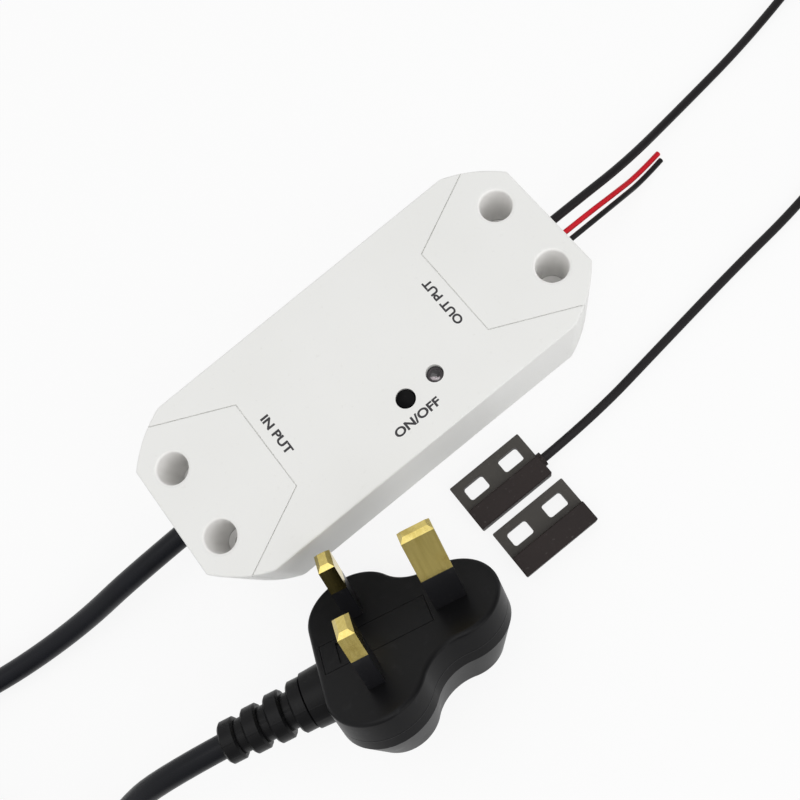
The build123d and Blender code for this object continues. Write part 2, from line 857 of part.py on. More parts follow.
def biarc(p0, t0, p1, t1):
    """Two tangent arcs from one point and direction to another."""
    v, t = p1 - p0, t0 + t1
    k = 2 * (1 - t0.dot(t1))
    reach = (math.sqrt(v.dot(t) ** 2 + k * v.dot(v)) - v.dot(t)) / k
    joint = (p0 + p1 + (t0 - t1) * reach) / 2
    first = Edge.make_tangent_arc(p0, t0, joint)
    return [first, Edge.make_tangent_arc(joint, first % 1, p1)]


class Coil:
    """Two layers of turns: in along the lower one, up at the middle, out along the upper."""

    def __init__(self, x, y, mean, turns, diameter, start, spin, lift):
        self.x, self.y, self.start, self.spin = x, y, start, spin
        self.pitch = diameter + coil_gap
        self.sweep, self.diameter = 2 * math.pi * turns, diameter
        self.inner = mean - self.pitch * turns / 4
        self.low = lift + diameter / 2

    def point(self, angle):
        u = angle - self.sweep / 2
        window = math.pi / 2
        spread = abs(u) if abs(u) > window else (u * u / window + window) / 2
        rise = min(max((u + window) / (2 * window), 0), 1)
        radius = self.inner + self.pitch * spread / (2 * math.pi)
        turn = self.start + self.spin * angle
        height = self.low + self.pitch * rise * rise * (3 - 2 * rise)
        return Vector(self.x + radius * math.cos(turn), self.y + radius * math.sin(turn), height)

    def heading(self, angle, step=1e-4):
        return (self.point(angle + step) - self.point(angle - step)).normalized()

    def ends(self):
        """Start and end of the wound tube, one diameter straight past its turns."""
        out = self.sweep
        return (self.point(0) - self.heading(0) * self.diameter,
                self.point(out) + self.heading(out) * self.diameter)

    def least_gap(self, samples=60):
        count = int(self.sweep / (2 * math.pi) * samples)
        points = [self.point(self.sweep * i / count) for i in range(count + 1)]
        gaps = [(a - b).length for i, a in enumerate(points) for b in points[i + samples // 2:]]
        return min(gaps) - self.diameter

    def solid(self, name, sides):
        start, finish = self.ends()
        steps = round(self.sweep / (math.pi / 2))
        marks = [self.sweep * i / steps for i in range(steps + 1)]
        edges = [Edge.make_line(start, self.point(0))]
        for a, b in zip(marks, marks[1:]):
            edges += biarc(self.point(a), self.heading(a), self.point(b), self.heading(b))
        edges.append(Edge.make_line(self.point(self.sweep), finish))
        path = Wire(edges)
        section = RegularPolygon(self.diameter / 2, side_count=sides)
        section = Plane(origin=start, z_dir=self.heading(0)) * section
        solid = sweep(section, path=path)
        share = solid.volume / (section.area * path.length)
        print(name, "length", round(path.length, 1), "least gap", round(self.least_gap(), 2),
              "volume share", round(share, 4))
        return solid

    def tie(self, angle, width):
        """Strap round all the turns at one angle, with a small locking head."""
        reach = self.pitch * self.sweep / (4 * math.pi)
        radius = self.diameter / 2 + tie_gap
        near, far = self.inner - radius, self.inner + reach + radius
        low, high = self.low - radius, self.low + self.pitch + radius
        outer = block((near - tie_thickness, far + tie_thickness), (-width / 2, width / 2),
                      (low - tie_thickness, high + tie_thickness))
        outer -= block((near, far), (-width, width), (low, high))
        head = width * tie_head_share
        outer += block((far + tie_thickness, far + tie_thickness + head / 2), (-head / 2, head / 2),
                       ((low + high - head) / 2, (low + high + head) / 2))
        return Pos(self.x, self.y) * Rot(0, 0, angle) * outer


coil_lift = tie_thickness + tie_gap + floor_gap
mains_coil = Coil(mains_coil_x, mains_coil_y, mains_coil_mean, mains_coil_turns, mains_diameter,
                  -math.pi / 2, -1, coil_lift)
sensor_coil = Coil(sensor_coil_x, sensor_coil_y, sensor_coil_mean, sensor_coil_turns, sensor_cable_diameter,
                   math.pi / 2, -1, coil_lift)


def mains_run():
    """Supply lead from its sheath end in the box, down to the floor and up to the coil's upper layer."""
    heading = mains_coil.heading(mains_coil.sweep)
    finish = mains_coil.ends()[1]
    return [(-sheath_end_x, 0, exit_height), (-76, 0, exit_height), (-104, 1, 4), (-134, 4, 3.3),
            finish + heading * mains_coil_lead, finish]


def mains_tail(placement):
    """Supply lead from the coil's lower layer over the floor and up into the plug's boot."""
    finish, heading = mains_coil.ends()[0], mains_coil.heading(0)
    neck = placement * Pos(0, plug_foot_y() - neck_length, -cord_level)
    outside = neck * Pos(0, -plug_lead, 0)
    return [neck.position, outside.position, (-116, -45.8, 12.5), (-137, -50.5, 3.6),
            finish - heading * mains_tail_lead, finish]


def sensor_run():
    """Sensor cable from its sheath end in the box to the coil's lower layer."""
    start, heading = sensor_coil.ends()[0], sensor_coil.heading(0)
    return [(sheath_end_x, sensor_exit_y, exit_height), (70, sensor_exit_y, exit_height),
            (90.5, 4.2, 8.2), (113, 8.4, 1.6),
            (142, 11.8, 1.4), start - heading * sensor_coil_lead, start]


def sensor_tail():
    """Sensor cable from the coil's upper layer back along the floor into the sensor."""
    finish, heading = sensor_coil.ends()[1], sensor_coil.heading(sensor_coil.sweep)
    end_x = sensor_x + block_length / 2 - cable_socket
    return [finish, finish + heading * sensor_coil_lead, (148, -27.5, 1.6), (118.3, -33.4, 1.3),
            (94, -35.6, 1.4),
            (66, -39, 1.5), (38, sensor_cable_y, cable_boss_height),
            (end_x, sensor_cable_y, cable_boss_height)]


def wire_start():
    """Where a wire ends in the output terminal."""
    return board_half - entry_depth + slide_gap


def red_route():
    y = terminal_way_y(1, 1)
    return [(wire_start(), y, exit_height), (69, y, exit_height), (83, -0.4, 7.4), (93, 1.2, 1.9),
            (101.8, 2.7, 0.85)]


def black_route():
    y = terminal_way_y(1, 0)
    return [(wire_start(), y, exit_height), (69, y, exit_height), (83, -2.6, 7.4), (92.5, -0.9, 1.9),
            (101, 0.7, 0.85)]


def core(end, sheath_y, way, diameter):
    """Insulated core from the sheath's end into its terminal."""
    y = terminal_way_y(end, way)
    far = board_half - entry_depth + slide_gap
    near = board_half + core_straight
    points = [(end * sheath_end_x, sheath_y, exit_height),
              (end * (sheath_end_x - core_straight), sheath_y, exit_height),
              (end * near, y, exit_height), (end * far, y, exit_height)]
    path = FilletPolyline(*points, radius=corner_radii(points))
    return sweep(Plane(origin=path @ 0, z_dir=path % 0) * Circle(diameter / 2), path=path)


# Moulded plug, in its own frame

def pin_places():
    """Live, neutral and earth pin: centre x, centre y, width, height, length."""
    low, high = -earth_offset / 3, earth_offset * 2 / 3
    return {
        "pin_live": (-pin_spacing / 2, low, power_pin_width, power_pin_height, power_pin_length),
        "pin_neutral": (pin_spacing / 2, low, power_pin_width, power_pin_height, power_pin_length),
        "pin_earth": (0, high, earth_pin_width, earth_pin_height, earth_pin_length),
    }


def lobed_outline(radius, reach_share, waist):
    """Three round lobes over the pins: waisted beside the earth pin, straight on the cord side."""
    centres = [Vector(x, y) * reach_share for x, y, *_ in pin_places().values()]
    live, neutral, earth = centres
    edges = [Line(live - Vector(0, radius), neutral - Vector(0, radius))]
    touch = {}
    for side, lobe in ((-1, live), (1, neutral)):
        between = (earth + lobe) / 2
        span = (earth - lobe).length / 2
        along = (earth - lobe).normalized()
        outward = Vector(along.Y, -along.X) * side
        hollow = between + outward * math.sqrt((radius + waist) ** 2 - span ** 2)
        touch[side] = [c + (hollow - c).normalized() * radius for c in (lobe, earth)]
        middle = hollow - outward * waist
        edges.append(ThreePointArc(touch[side][0], middle, touch[side][1]))
        low = lobe - Vector(0, radius)
        across = ((touch[side][0] - lobe) + (low - lobe)).normalized() * radius
        edges.append(ThreePointArc(low, lobe + across, touch[side][0]))
    edges.append(ThreePointArc(touch[-1][1], earth + Vector(0, radius), touch[1][1]))
    return make_face(Curve() + edges)


def plug_foot_y():
    """Cord side of the plug's body."""
    return -earth_offset / 3 - lobe_radius


def plug_body():
    face = lobed_outline(lobe_radius, 1.0, waist_radius)
    rim = extrude(face, -plug_rim_depth)
    grip_face = lobed_outline(grip_lobe_radius, grip_reach_share, waist_radius)
    grip = loft([Pos(0, 0, -plug_rim_depth) * face, Pos(0, 0, -plug_depth) * grip_face])
    grip = fillet(grip.faces().sort_by(Axis.Z)[0].edges(), plug_back_radius)
    rim = fillet(rim.faces().sort_by(Axis.Z)[-1].edges(), plug_face_radius)
    body = rim + grip
    neck = Pos(0, plug_foot_y() + lobe_radius / 2, -cord_level) * Rot(90, 0, 0) * \
        Cone(neck_radius, neck_end_radius, neck_length + lobe_radius / 2,
             align=(Align.CENTER, Align.CENTER, Align.MIN))
    body += neck
    for x, y, width, height, length in pin_places().values():
        root = Rectangle(width - 2 * sleeve_wall, height - 2 * sleeve_wall)
        body -= Pos(x, y, -pin_foot) * extrude(root, pin_foot)
        body -= Pos(x, y, -sleeve_foot) * extrude(Rectangle(width, height), sleeve_foot)
    pocket = Rectangle(carrier_width, carrier_length)
    return body - Pos(0, carrier_centre_y, -carrier_depth) * extrude(pocket, carrier_depth)


def plug_pin(x, y, width, height, length):
    """Brass bar, thinner where its sleeve goes, with a chamfered tip."""
    bar = Pos(x, y, sleeve_reach) * extrude(Rectangle(width, height), length - sleeve_reach)
    bar = chamfer(bar.faces().sort_by(Axis.Z)[-1].edges(), pin_tip_chamfer)
    root = Rectangle(width - 2 * sleeve_wall, height - 2 * sleeve_wall)
    return bar + Pos(x, y, -pin_foot) * extrude(root, pin_foot + sleeve_reach)


def pin_sleeves():
    sleeves = []
    for x, y, width, height, length in pin_places().values():
        ring = Rectangle(width, height) - Rectangle(width - 2 * sleeve_wall, height - 2 * sleeve_wall)
        sleeves.append(Pos(x, y, -sleeve_foot) * extrude(ring, sleeve_foot + sleeve_reach))
    return sleeves


def relief_length():
    return relief_ribs * (rib_length + rib_groove) - rib_groove


def strain_relief():
    """Tapered boot with stepped ribs along the cord."""
    bore = mains_diameter / 2 + cable_gap
    outline = [(bore, 0)]
    for rib in range(relief_ribs):
        radius = rib_radius + (rib_tip_radius - rib_radius) * rib / (relief_ribs - 1)
        start = rib * (rib_length + rib_groove)
        stop = start + rib_length
        outline += [(radius - rib_round, start), (radius, start + rib_round),
                    (radius, stop - rib_round), (radius - rib_round, stop)]
        if rib < relief_ribs - 1:
            web = rib_web_radius + (rib_tip_radius - rib_radius) * rib / relief_ribs / 2
            outline += [(web, stop), (web, stop + rib_groove)]
    outline.append((bore, relief_length()))
    return Pos(0, plug_foot_y() - neck_length, -cord_level) * Rot(90, 0, 0) * turned(outline)


def fuse_carrier():
    """Lid flush with the pin face over a tray that grips the fuse."""
    outside = Rectangle(carrier_width - 2 * fit_gap, carrier_length - 2 * fit_gap)
    tray = Pos(0, carrier_centre_y, -carrier_depth) * extrude(outside, carrier_depth)
    inside = Rectangle(carrier_width - 2 * carrier_wall, fuse_length + 2 * cavity_gap)
    tray -= Pos(0, carrier_centre_y, -carrier_depth) * extrude(inside, carrier_depth - carrier_lid)
    slot = Rectangle(carrier_width - 2 * carrier_wall, carrier_slot_width)
    end_y = carrier_centre_y - carrier_length / 2 + carrier_width / 2
    return tray - Pos(0, end_y, -carrier_slot_depth) * extrude(slot, carrier_slot_depth)


def plug_fuse():
    r, half = fuse_diameter / 2, fuse_length / 2
    inner, cap = r - fuse_cap_step, half - fuse_cap_length
    profile = [(0, -half), (r, -half), (r, -cap), (inner, -cap), (inner, cap), (r, cap), (r, half),
               (0, half)]
    return Pos(0, carrier_centre_y, -carrier_lid - r - cavity_gap) * Rot(90, 0, 0) * turned(profile)


def plug_nodes():
    nodes = {name: plug_pin(*place) for name, place in pin_places().items()}
    nodes.update(plug_body=plug_body(), plug_strain_relief=strain_relief(),
                 pin_sleeves=Compound(children=pin_sleeves()),
                 fuse_carrier=fuse_carrier(), plug_fuse=plug_fuse())
    return nodes


def plug_placement(body):
    """Plug heading, pitched along the cord and leant over, with its lowest edge on the floor."""
    turn = Rot(0, 0, plug_heading - 90) * Rot(plug_pitch, 0, 0) * Rot(0, -plug_lean, 0)
    drop = (turn * body).bounding_box().min.Z
    return Pos(plug_x, plug_y, floor_gap - drop) * turn


# Reed sensor and magnet

def slotted_block(x, y):
    """Raised bar with a lower flange on its far side and two screw slots through the flange."""
    body = Pos(x, y) * extrude(Rectangle(block_length, block_width), block_height)
    far = y + block_width / 2
    body -= block((x - block_length, x + block_length), (far - flange_width, far + overrun),
                  (flange_height, block_height + overrun))
    body = fillet(body.edges().filter_by(Axis.Z), block_edge_radius)
    top_edges = body.faces().sort_by(Axis.Z)[-1].edges()
    body = fillet(top_edges, block_edge_radius)
    for side in ends:
        slot = RectangleRounded(slot_length, slot_width, slot_corner_radius)
        body -= Pos(x + side * slot_spacing / 2, far - slot_edge) * extrude(slot, flange_height)
    return body


def bar_y(y):
    """Centre line of a block's raised bar."""
    return y - block_width / 2 + (block_width - flange_width) / 2


def sensor_body():
    body = slotted_block(sensor_x, sensor_y)
    end = sensor_x + block_length / 2
    body += along_x(sensor_cable_y, cable_boss_height, end, end + cable_boss_length, 2 * cable_boss_radius)
    body -= along_x(sensor_cable_y, cable_boss_height, end - cable_socket, end + cable_boss_length,
                    sensor_cable_diameter + 2 * cable_gap)
    half = reed_length / 2 + reed_lead_length + cavity_gap
    centre = sensor_x - cable_socket / 2
    return body - along_x(bar_y(sensor_y), block_height / 2, centre - half, centre + half,
                          reed_diameter + 2 * cavity_gap)


def reed_capsule():
    """Glass tube with a lead at each end."""
    centre = sensor_x - cable_socket / 2
    half = reed_length / 2
    capsule = along_x(bar_y(sensor_y), block_height / 2, centre - half, centre + half, reed_diameter)
    capsule = chamfer(capsule.edges().filter_by(GeomType.CIRCLE), reed_diameter / 4)
    reach = half + reed_lead_length
    return capsule + along_x(bar_y(sensor_y), block_height / 2, centre - reach, centre + reach, reed_lead)


def magnet_bar_box(gap):
    size = (magnet_bar_length + 2 * gap, magnet_bar_width + 2 * gap)
    height = magnet_bar_width + 2 * gap
    return Pos(magnet_x, bar_y(magnet_y), (block_height - height) / 2) * extrude(Rectangle(*size), height)


# Everything in place

shell = cover_shell()
nodes = {
    "base_plate": base_plate(),
    "top_cover": top_cover(shell),
    "input_cover": end_cover(-1, shell),
    "output_cover": end_cover(1, shell),
    "cover_screws": cover_screws(),
    "circuit_board": circuit_board(),
    "board_screws": board_screws(),
    "input_clamp": cable_clamp(-1),
    "output_clamp": cable_clamp(1),
    "clamp_screws": clamp_screws(),
    "input_terminal": terminal_block(-1),
    "output_terminal": terminal_block(1),
    "terminal_screws": terminal_screws(),
    "button_cap": button_cap(),
    "switch_plunger": switch_plunger(),
    "push_switch": push_switch(),
    "light_guide": light_guide(),
    "status_led": status_led(),
    "relay": relay(),
    "transformer_core": transformer_core(),
    "transformer_bobbin": transformer_bobbin(),
    "bulk_capacitors": [capacitor(bulk_x, bulk_y + row * bulk_pitch, bulk_diameter, bulk_headroom)
                        for row in (0, 1)],
    "output_capacitor": capacitor(output_capacitor_x, bulk_y, output_capacitor_diameter,
                                  output_capacitor_headroom),
    "fuse_resistor": fuse_resistor(),
    "varistor": varistor(),
    "surface_chips": surface_chips(),
    "radio_board": radio_board(),
    "radio_shield": radio_shield(),
    "sensor_body": sensor_body(),
    "reed_capsule": reed_capsule(),
    "magnet_body": slotted_block(magnet_x, magnet_y) - magnet_bar_box(cavity_gap),
    "magnet_bar": magnet_bar_box(0.0),
}

plug = plug_nodes()
placement = plug_placement(plug["plug_body"])
nodes.update({name: placement * shape for name, shape in plug.items()})
print("plug face centre", placement.position, "facing",
      (placement * Pos(0, 0, 1)).position - placement.position)

nodes.update({
    "mains_live_core": core(-1, mains_core_spread, 1, mains_core_diameter),
    "mains_neutral_core": core(-1, -mains_core_spread, 0, mains_core_diameter),
    "sensor_cores": [core(1, sensor_exit_y + (way - 2.5) * 2 * sensor_core_spread, way,
                          sensor_core_diameter) for way in (2, 3)],
    "mains_lead_run": tube("mains_lead_run", mains_run(), mains_diameter, cord_sides),
    "mains_lead_coil": mains_coil.solid("mains_lead_coil", mains_coil_sides),
    "mains_lead_tail": tube("mains_lead_tail", mains_tail(placement), mains_diameter, cord_sides),
    "mains_tie": mains_coil.tie(0, mains_tie_width),
    "sensor_cable_run": tube("sensor_cable_run", sensor_run(), sensor_cable_diameter, cord_sides),
    "sensor_cable_coil": sensor_coil.solid("sensor_cable_coil", sensor_coil_sides),
    "sensor_cable_tail": tube("sensor_cable_tail", sensor_tail(), sensor_cable_diameter, cord_sides),
    "sensor_tie": sensor_coil.tie(0, sensor_tie_width),
    "red_wire": tube("red_wire", red_route(), wire_diameter, cord_sides),
    "black_wire": tube("black_wire", black_route(), wire_diameter, cord_sides),
})

for name, shape in nodes.items():
    save(name, shape)
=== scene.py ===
"""Garage door controller: white relay box, mains lead with plug, output wires, reed sensor and its magnet."""

import math

import bpy
from mathutils import Matrix, Vector


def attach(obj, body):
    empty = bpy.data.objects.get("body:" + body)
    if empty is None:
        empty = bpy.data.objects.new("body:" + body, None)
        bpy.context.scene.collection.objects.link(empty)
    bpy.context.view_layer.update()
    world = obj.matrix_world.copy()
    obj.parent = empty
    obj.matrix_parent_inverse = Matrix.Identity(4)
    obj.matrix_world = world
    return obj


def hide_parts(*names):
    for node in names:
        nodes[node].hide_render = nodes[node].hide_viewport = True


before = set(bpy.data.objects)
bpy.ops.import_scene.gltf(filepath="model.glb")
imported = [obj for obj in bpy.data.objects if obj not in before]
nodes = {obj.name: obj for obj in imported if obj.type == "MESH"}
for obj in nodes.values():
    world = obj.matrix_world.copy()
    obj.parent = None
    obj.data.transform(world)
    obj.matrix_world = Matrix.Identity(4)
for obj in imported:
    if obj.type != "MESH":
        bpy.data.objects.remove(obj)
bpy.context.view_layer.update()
scene = bpy.context.scene

# View
# The camera stands a hand's width above the table, nearly over the box, and
# is turned so that the box runs from the lower left to the upper right.

view_from = Vector((-0.00111, -0.07029, 0.23014))
view_at = Vector((0.00301, -0.00516, 0.0))
picture_up = math.radians(51.73)
focal_length, sensor_width, near_clip = 39.268, 36.0, 0.01

forward = (view_at - view_from).normalized()
right = forward.cross(Vector((math.cos(picture_up), math.sin(picture_up), 0))).normalized()
upward = right.cross(forward)
lens = bpy.data.cameras.new("view")
lens.lens = focal_length
lens.sensor_width = sensor_width
lens.clip_start = near_clip
camera = bpy.data.objects.new("view", lens)
camera.matrix_world = Matrix((right, upward, -forward)).transposed().to_4x4()
camera.location = view_from
scene.collection.objects.link(camera)
scene.camera = camera
scene.view_settings.view_transform = "Standard"


# Mains lead
# Round two-core PVC flex, 6 mm across, with a blue-black satin sheath. It leaves the
# box, lies on the table, is put away in a tied coil and ends in the plug.

class Sock:
    """One output of a node, with arithmetic that adds Math nodes."""

    def __init__(self, net, socket):
        self.net, self.socket = net, socket

    def maths(self, operation, a, b):
        return self.net.maths(operation, a, b)

    def __add__(self, other):
        return self.maths("ADD", self, other)

    def __sub__(self, other):
        return self.maths("SUBTRACT", self, other)

    def __rsub__(self, other):
        return self.maths("SUBTRACT", other, self)

    def __mul__(self, other):
        return self.maths("MULTIPLY", self, other)

    def __truediv__(self, other):
        return self.maths("DIVIDE", self, other)

    def __pow__(self, other):
        return self.maths("POWER", self, other)

    def __gt__(self, other):
        return self.maths("GREATER_THAN", self, other)


class Net:
    """A node tree to which nodes are added one call at a time."""

    def maths(self, operation, a, b=0.0):
        return self.node("ShaderNodeMath", {"operation": operation}, {0: a, 1: b})

    def split(self, vector):
        """The three parts of a vector."""
        apart = self.node("ShaderNodeSeparateXYZ", {}, {0: vector}).socket.node
        return [Sock(self, part) for part in apart.outputs]

    def node(self, kind, settings, sockets, output=0):
        """Adds a node, sets it up, joins or fills its inputs, and gives one of its outputs."""
        made = self.tree.nodes.new(kind)
        for key, value in settings.items():
            setattr(made, key, value)
        for key, value in sockets.items():
            for part in value if isinstance(value, list) else [value]:
                if isinstance(part, Sock):
                    self.tree.links.new(part.socket, made.inputs[key])
                else:
                    made.inputs[key].default_value = part
        return Sock(self, made.outputs[output])


class Finish(Net):
    """A material made from nodes. Its patterns sit in object coordinates, or in what place is set to."""

    def __init__(self, name):
        self.material = bpy.data.materials.new(name)
        self.material.use_nodes = True
        self.tree = self.material.node_tree
        self.tree.nodes.clear()
        self.place = self.node("ShaderNodeTexCoord", {}, {}, output="Object")

    def noise(self, per_metre, detail=2.0, stretch=None, rough=0.5):
        """Soft random field around 0.5, with features about 1 / per_metre across."""
        place = self.place
        if stretch is not None:
            place = self.node("ShaderNodeMapping", {}, {"Vector": place, "Scale": stretch})
        return self.node("ShaderNodeTexNoise", {}, {
            "Vector": place, "Scale": per_metre, "Detail": detail, "Roughness": rough})

    def between(self, factor, low, high):
        """Factor spread from low to high, held between them."""
        return self.node("ShaderNodeMapRange", {}, {"Value": factor, "To Min": low, "To Max": high})

    def window(self, factor, start, stop):
        """0 below start, 1 above stop."""
        return self.node("ShaderNodeMapRange", {"interpolation_type": "SMOOTHSTEP"}, {
            "Value": factor, "From Min": start, "From Max": stop})

    def blend(self, factor, a, b):
        """Colour a where factor is 0, colour b where it is 1."""
        return self.node("ShaderNodeMix", {"data_type": "RGBA"}, {0: factor, 6: a, 7: b}, output=2)

    def bump(self, height, depth, strength, under=None):
        """Relief that height drives, depth metres deep, over another relief where one is given."""
        sockets = {"Height": height, "Distance": depth, "Strength": strength}
        if under is not None:
            sockets["Normal"] = under
        return self.node("ShaderNodeBump", {}, sockets)

    def surface(self, **inputs):
        """Ends the material in one Principled shader; underscores in the names stand for spaces."""
        sockets = {key.replace("_", " "): value for key, value in inputs.items()}
        shader = self.node("ShaderNodeBsdfPrincipled", {}, sockets)
        out = self.tree.nodes.new("ShaderNodeOutputMaterial")
        self.tree.links.new(shader.socket, out.inputs["Surface"])
        return self.material


def rgb(red, green, blue):
    """Linear colour of a screen colour from 0 to 255."""
    shares = [part / 255 for part in (red, green, blue)]
    return tuple(s / 12.92 if s <= 0.04045 else ((s + 0.055) / 1.055) ** 2.4 for s in shares) + (1.0,)


def sheath(name, dark, light, roughness, coat=0.0):
    """Extruded PVC: faint bloom and handling marks, and a fine ripple from the die."""
    finish = Finish(name)
    bloom = finish.noise(90, detail=4)
    ripple = finish.noise(900, detail=2)
    rub = finish.window(finish.noise(260, detail=5, rough=0.65), 0.55, 0.72)
    return finish.surface(
        Base_Color=finish.blend(bloom, dark, light),
        Roughness=finish.between(bloom, roughness - 0.05, roughness + 0.08) + rub * 0.08,
        Normal=finish.bump(ripple + rub * 0.4, 0.00004, 0.5),
        Specular_IOR_Level=0.18, Coat_Weight=coat, Coat_Roughness=0.25)


def moulded(name, dark, light, roughness, grain=3000, depth=0.00003, coat=0.0, shine=0.5, dusty=0.2):
    """Moulded plastic: slow drift of tone, eroded mould grain, and dust in scattered patches."""
    finish = Finish(name)
    tone = finish.noise(60, detail=3)
    spark = finish.noise(grain, detail=3, rough=0.6)
    dust = finish.window(finish.noise(900, detail=4), 0.6, 0.8)
    return finish.surface(
        Base_Color=finish.blend(dust * dusty, finish.blend(tone, dark, light), rgb(150, 148, 144)),
        Roughness=finish.between(tone, roughness - 0.04, roughness + 0.06) + dust * 0.1,
        Normal=finish.bump(spark, depth, 0.5),
        Specular_IOR_Level=shine, Coat_Weight=coat, Coat_Roughness=0.12)


def drawn_metal(name, dark, light, roughness, stretch=(1, 1, 0.08), tarnish=0.35):
    """Drawn or rolled metal: long streaks, patches of tarnish and small scratches."""
    finish = Finish(name)
    streak = finish.noise(2600, detail=2, stretch=stretch)
    stain = finish.window(finish.noise(160, detail=5, rough=0.6), 0.45, 0.75)
    scratch = finish.window(finish.noise(3200, detail=1, stretch=(0.1, 1, 1)), 0.68, 0.74)
    return finish.surface(
        Base_Color=finish.blend(stain * tarnish, finish.blend(streak, dark, light), dark),
        Metallic=1.0,
        Roughness=finish.between(streak, roughness - 0.06, roughness + 0.08) + stain * 0.12 - scratch * 0.05,
        Normal=finish.bump(streak + scratch * 0.6, 0.000012, 0.5))


def dress(piece, material):
    """Gives a piece or a carried-over node one material."""
    piece.data.materials.clear()
    piece.data.materials.append(material)
    return piece


def coil_points(x, y, mean, turns, diameter, start, lift, gap=0.0006, per_turn=20):
    """Clockwise turns in two layers: in along the lower, up where the spiral turns back, out on the upper.

    Gives the route's points, and the directions in which the cord enters and leaves."""
    pitch, sweep, climb = diameter + gap, 2 * math.pi * turns, math.pi / 2
    inner = mean - pitch * turns / 4

    def point(angle):
        past_middle = angle - sweep / 2
        spread = abs(past_middle)
        if spread < climb:
            spread = (spread * spread / climb + climb) / 2
        rise = min(max((past_middle + climb) / (2 * climb), 0), 1)
        radius = inner + pitch * spread / (2 * math.pi)
        height = lift + diameter / 2 + pitch * rise * rise * (3 - 2 * rise)
        return Vector((x + radius * math.cos(start - angle), y + radius * math.sin(start - angle), height))

    count = round(turns * per_turn)
    turned = [point(sweep * i / count) for i in range(count + 1)]
    small = 1e-4
    first = (point(small) - point(-small)).normalized()
    last = (point(sweep + small) - point(sweep - small)).normalized()
    return [turned[0] - first * diameter] + turned + [turned[-1] + last * diameter], first, last


def cord_curve(name, points, diameter, sides=8):
    """Smooth cord on the route's points, as one open spline."""
    curve = bpy.data.curves.new(name, "CURVE")
    curve.dimensions = "3D"
    curve.bevel_depth = diameter / 2
    curve.bevel_resolution = sides
    curve.use_fill_caps = True
    curve.resolution_u = 10
    spline = curve.splines.new("NURBS")
    spline.points.add(len(points) - 1)
    for point, place in zip(spline.points, points):
        point.co = (*place, 1.0)
    spline.order_u = 3
    spline.use_endpoint_u = True
    piece = bpy.data.objects.new(name, curve)
    scene.collection.objects.link(piece)
    return piece


coil_lift = 0.0011
mains_diameter = 0.006
mains_run_in, mains_run_out = 0.024, 0.023
mains_turns, mains_first, mains_last = coil_points(
    x=-0.193, y=-0.030, mean=0.033, turns=4.5, diameter=mains_diameter, start=-math.pi / 2, lift=coil_lift)

# The plug leans on the edge of its grip, with its cord side turned to the lower left of the view.
plug_turn = (Matrix.Rotation(math.radians(-102), 4, "Z") @ Matrix.Rotation(math.radians(-4), 4, "X")
             @ Matrix.Rotation(math.radians(-43), 4, "Y"))
plug_place = Matrix.Translation((-0.032, -0.053, 0.0256572)) @ plug_turn
cord_level, neck_end, straight_cord = -0.0096, -0.0252, 0.038
cord_start = plug_place @ Vector((0, neck_end, cord_level))
cord_out = plug_place @ Vector((0, neck_end - straight_cord, cord_level))

mains_route = [Vector(p) for p in ((-0.0404, 0, 0.0134), (-0.076, 0, 0.0134),
                                   (-0.104, 0.001, 0.004), (-0.134, 0.004, 0.0033))]
mains_route += [mains_turns[-1] + mains_last * mains_run_in]
mains_route += reversed(mains_turns)
mains_route += [mains_turns[0] - mains_first * mains_run_out]
mains_route += [Vector(p) for p in ((-0.137, -0.0505, 0.0036), (-0.116, -0.0458, 0.0125))]
mains_route += [cord_out, cord_start]
mains_lead = cord_curve("mains_lead", mains_route, mains_diameter)
dress(mains_lead, sheath("mains_sheath", rgb(8, 9, 13), rgb(16, 18, 25), 0.32, coat=0.03))
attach(mains_lead, "controller")
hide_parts("mains_lead_run", "mains_lead_coil", "mains_lead_tail")


# Sensor cable
# Thin two-core cable, 2.4 mm, in a soft black sheath. One metre, most of it
# put away in a tied coil, and moulded into the end of the reed sensor.

sensor_diameter = 0.0024
sensor_run_out = 0.014
sensor_turns, sensor_first, sensor_last = coil_points(
    x=0.190, y=-0.002, mean=0.0144, turns=7.5, diameter=sensor_diameter, start=math.pi / 2, lift=coil_lift)
sensor_route = [Vector(p) for p in (
    (0.0404, 0.0028, 0.0134), (0.070, 0.0028, 0.0134), (0.0905, 0.0042, 0.0082),
    (0.113, 0.0084, 0.0016), (0.142, 0.0118, 0.0014))]
sensor_route += [sensor_turns[0] - sensor_first * sensor_run_out]
sensor_route += sensor_turns
sensor_route += [sensor_turns[-1] + sensor_last * sensor_run_out]
sensor_route += [Vector(p) for p in (
    (0.148, -0.0275, 0.0016), (0.1183, -0.0334, 0.0013), (0.094, -0.0356, 0.0014),
    (0.066, -0.039, 0.0015), (0.038, -0.0426, 0.0026), (0.0181, -0.0426, 0.0026))]
sensor_cable = cord_curve("sensor_cable", sensor_route, sensor_diameter)
dress(sensor_cable, sheath("sensor_sheath", rgb(22, 20, 21), rgb(34, 31, 33), 0.4))
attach(sensor_cable, "controller")
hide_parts("sensor_cable_run", "sensor_cable_coil", "sensor_cable_tail")


# Output wires
# One red and one black PVC wire, 1.5 mm, cut square. Seven copper strands
# show at each cut end: one in the middle and six round it.

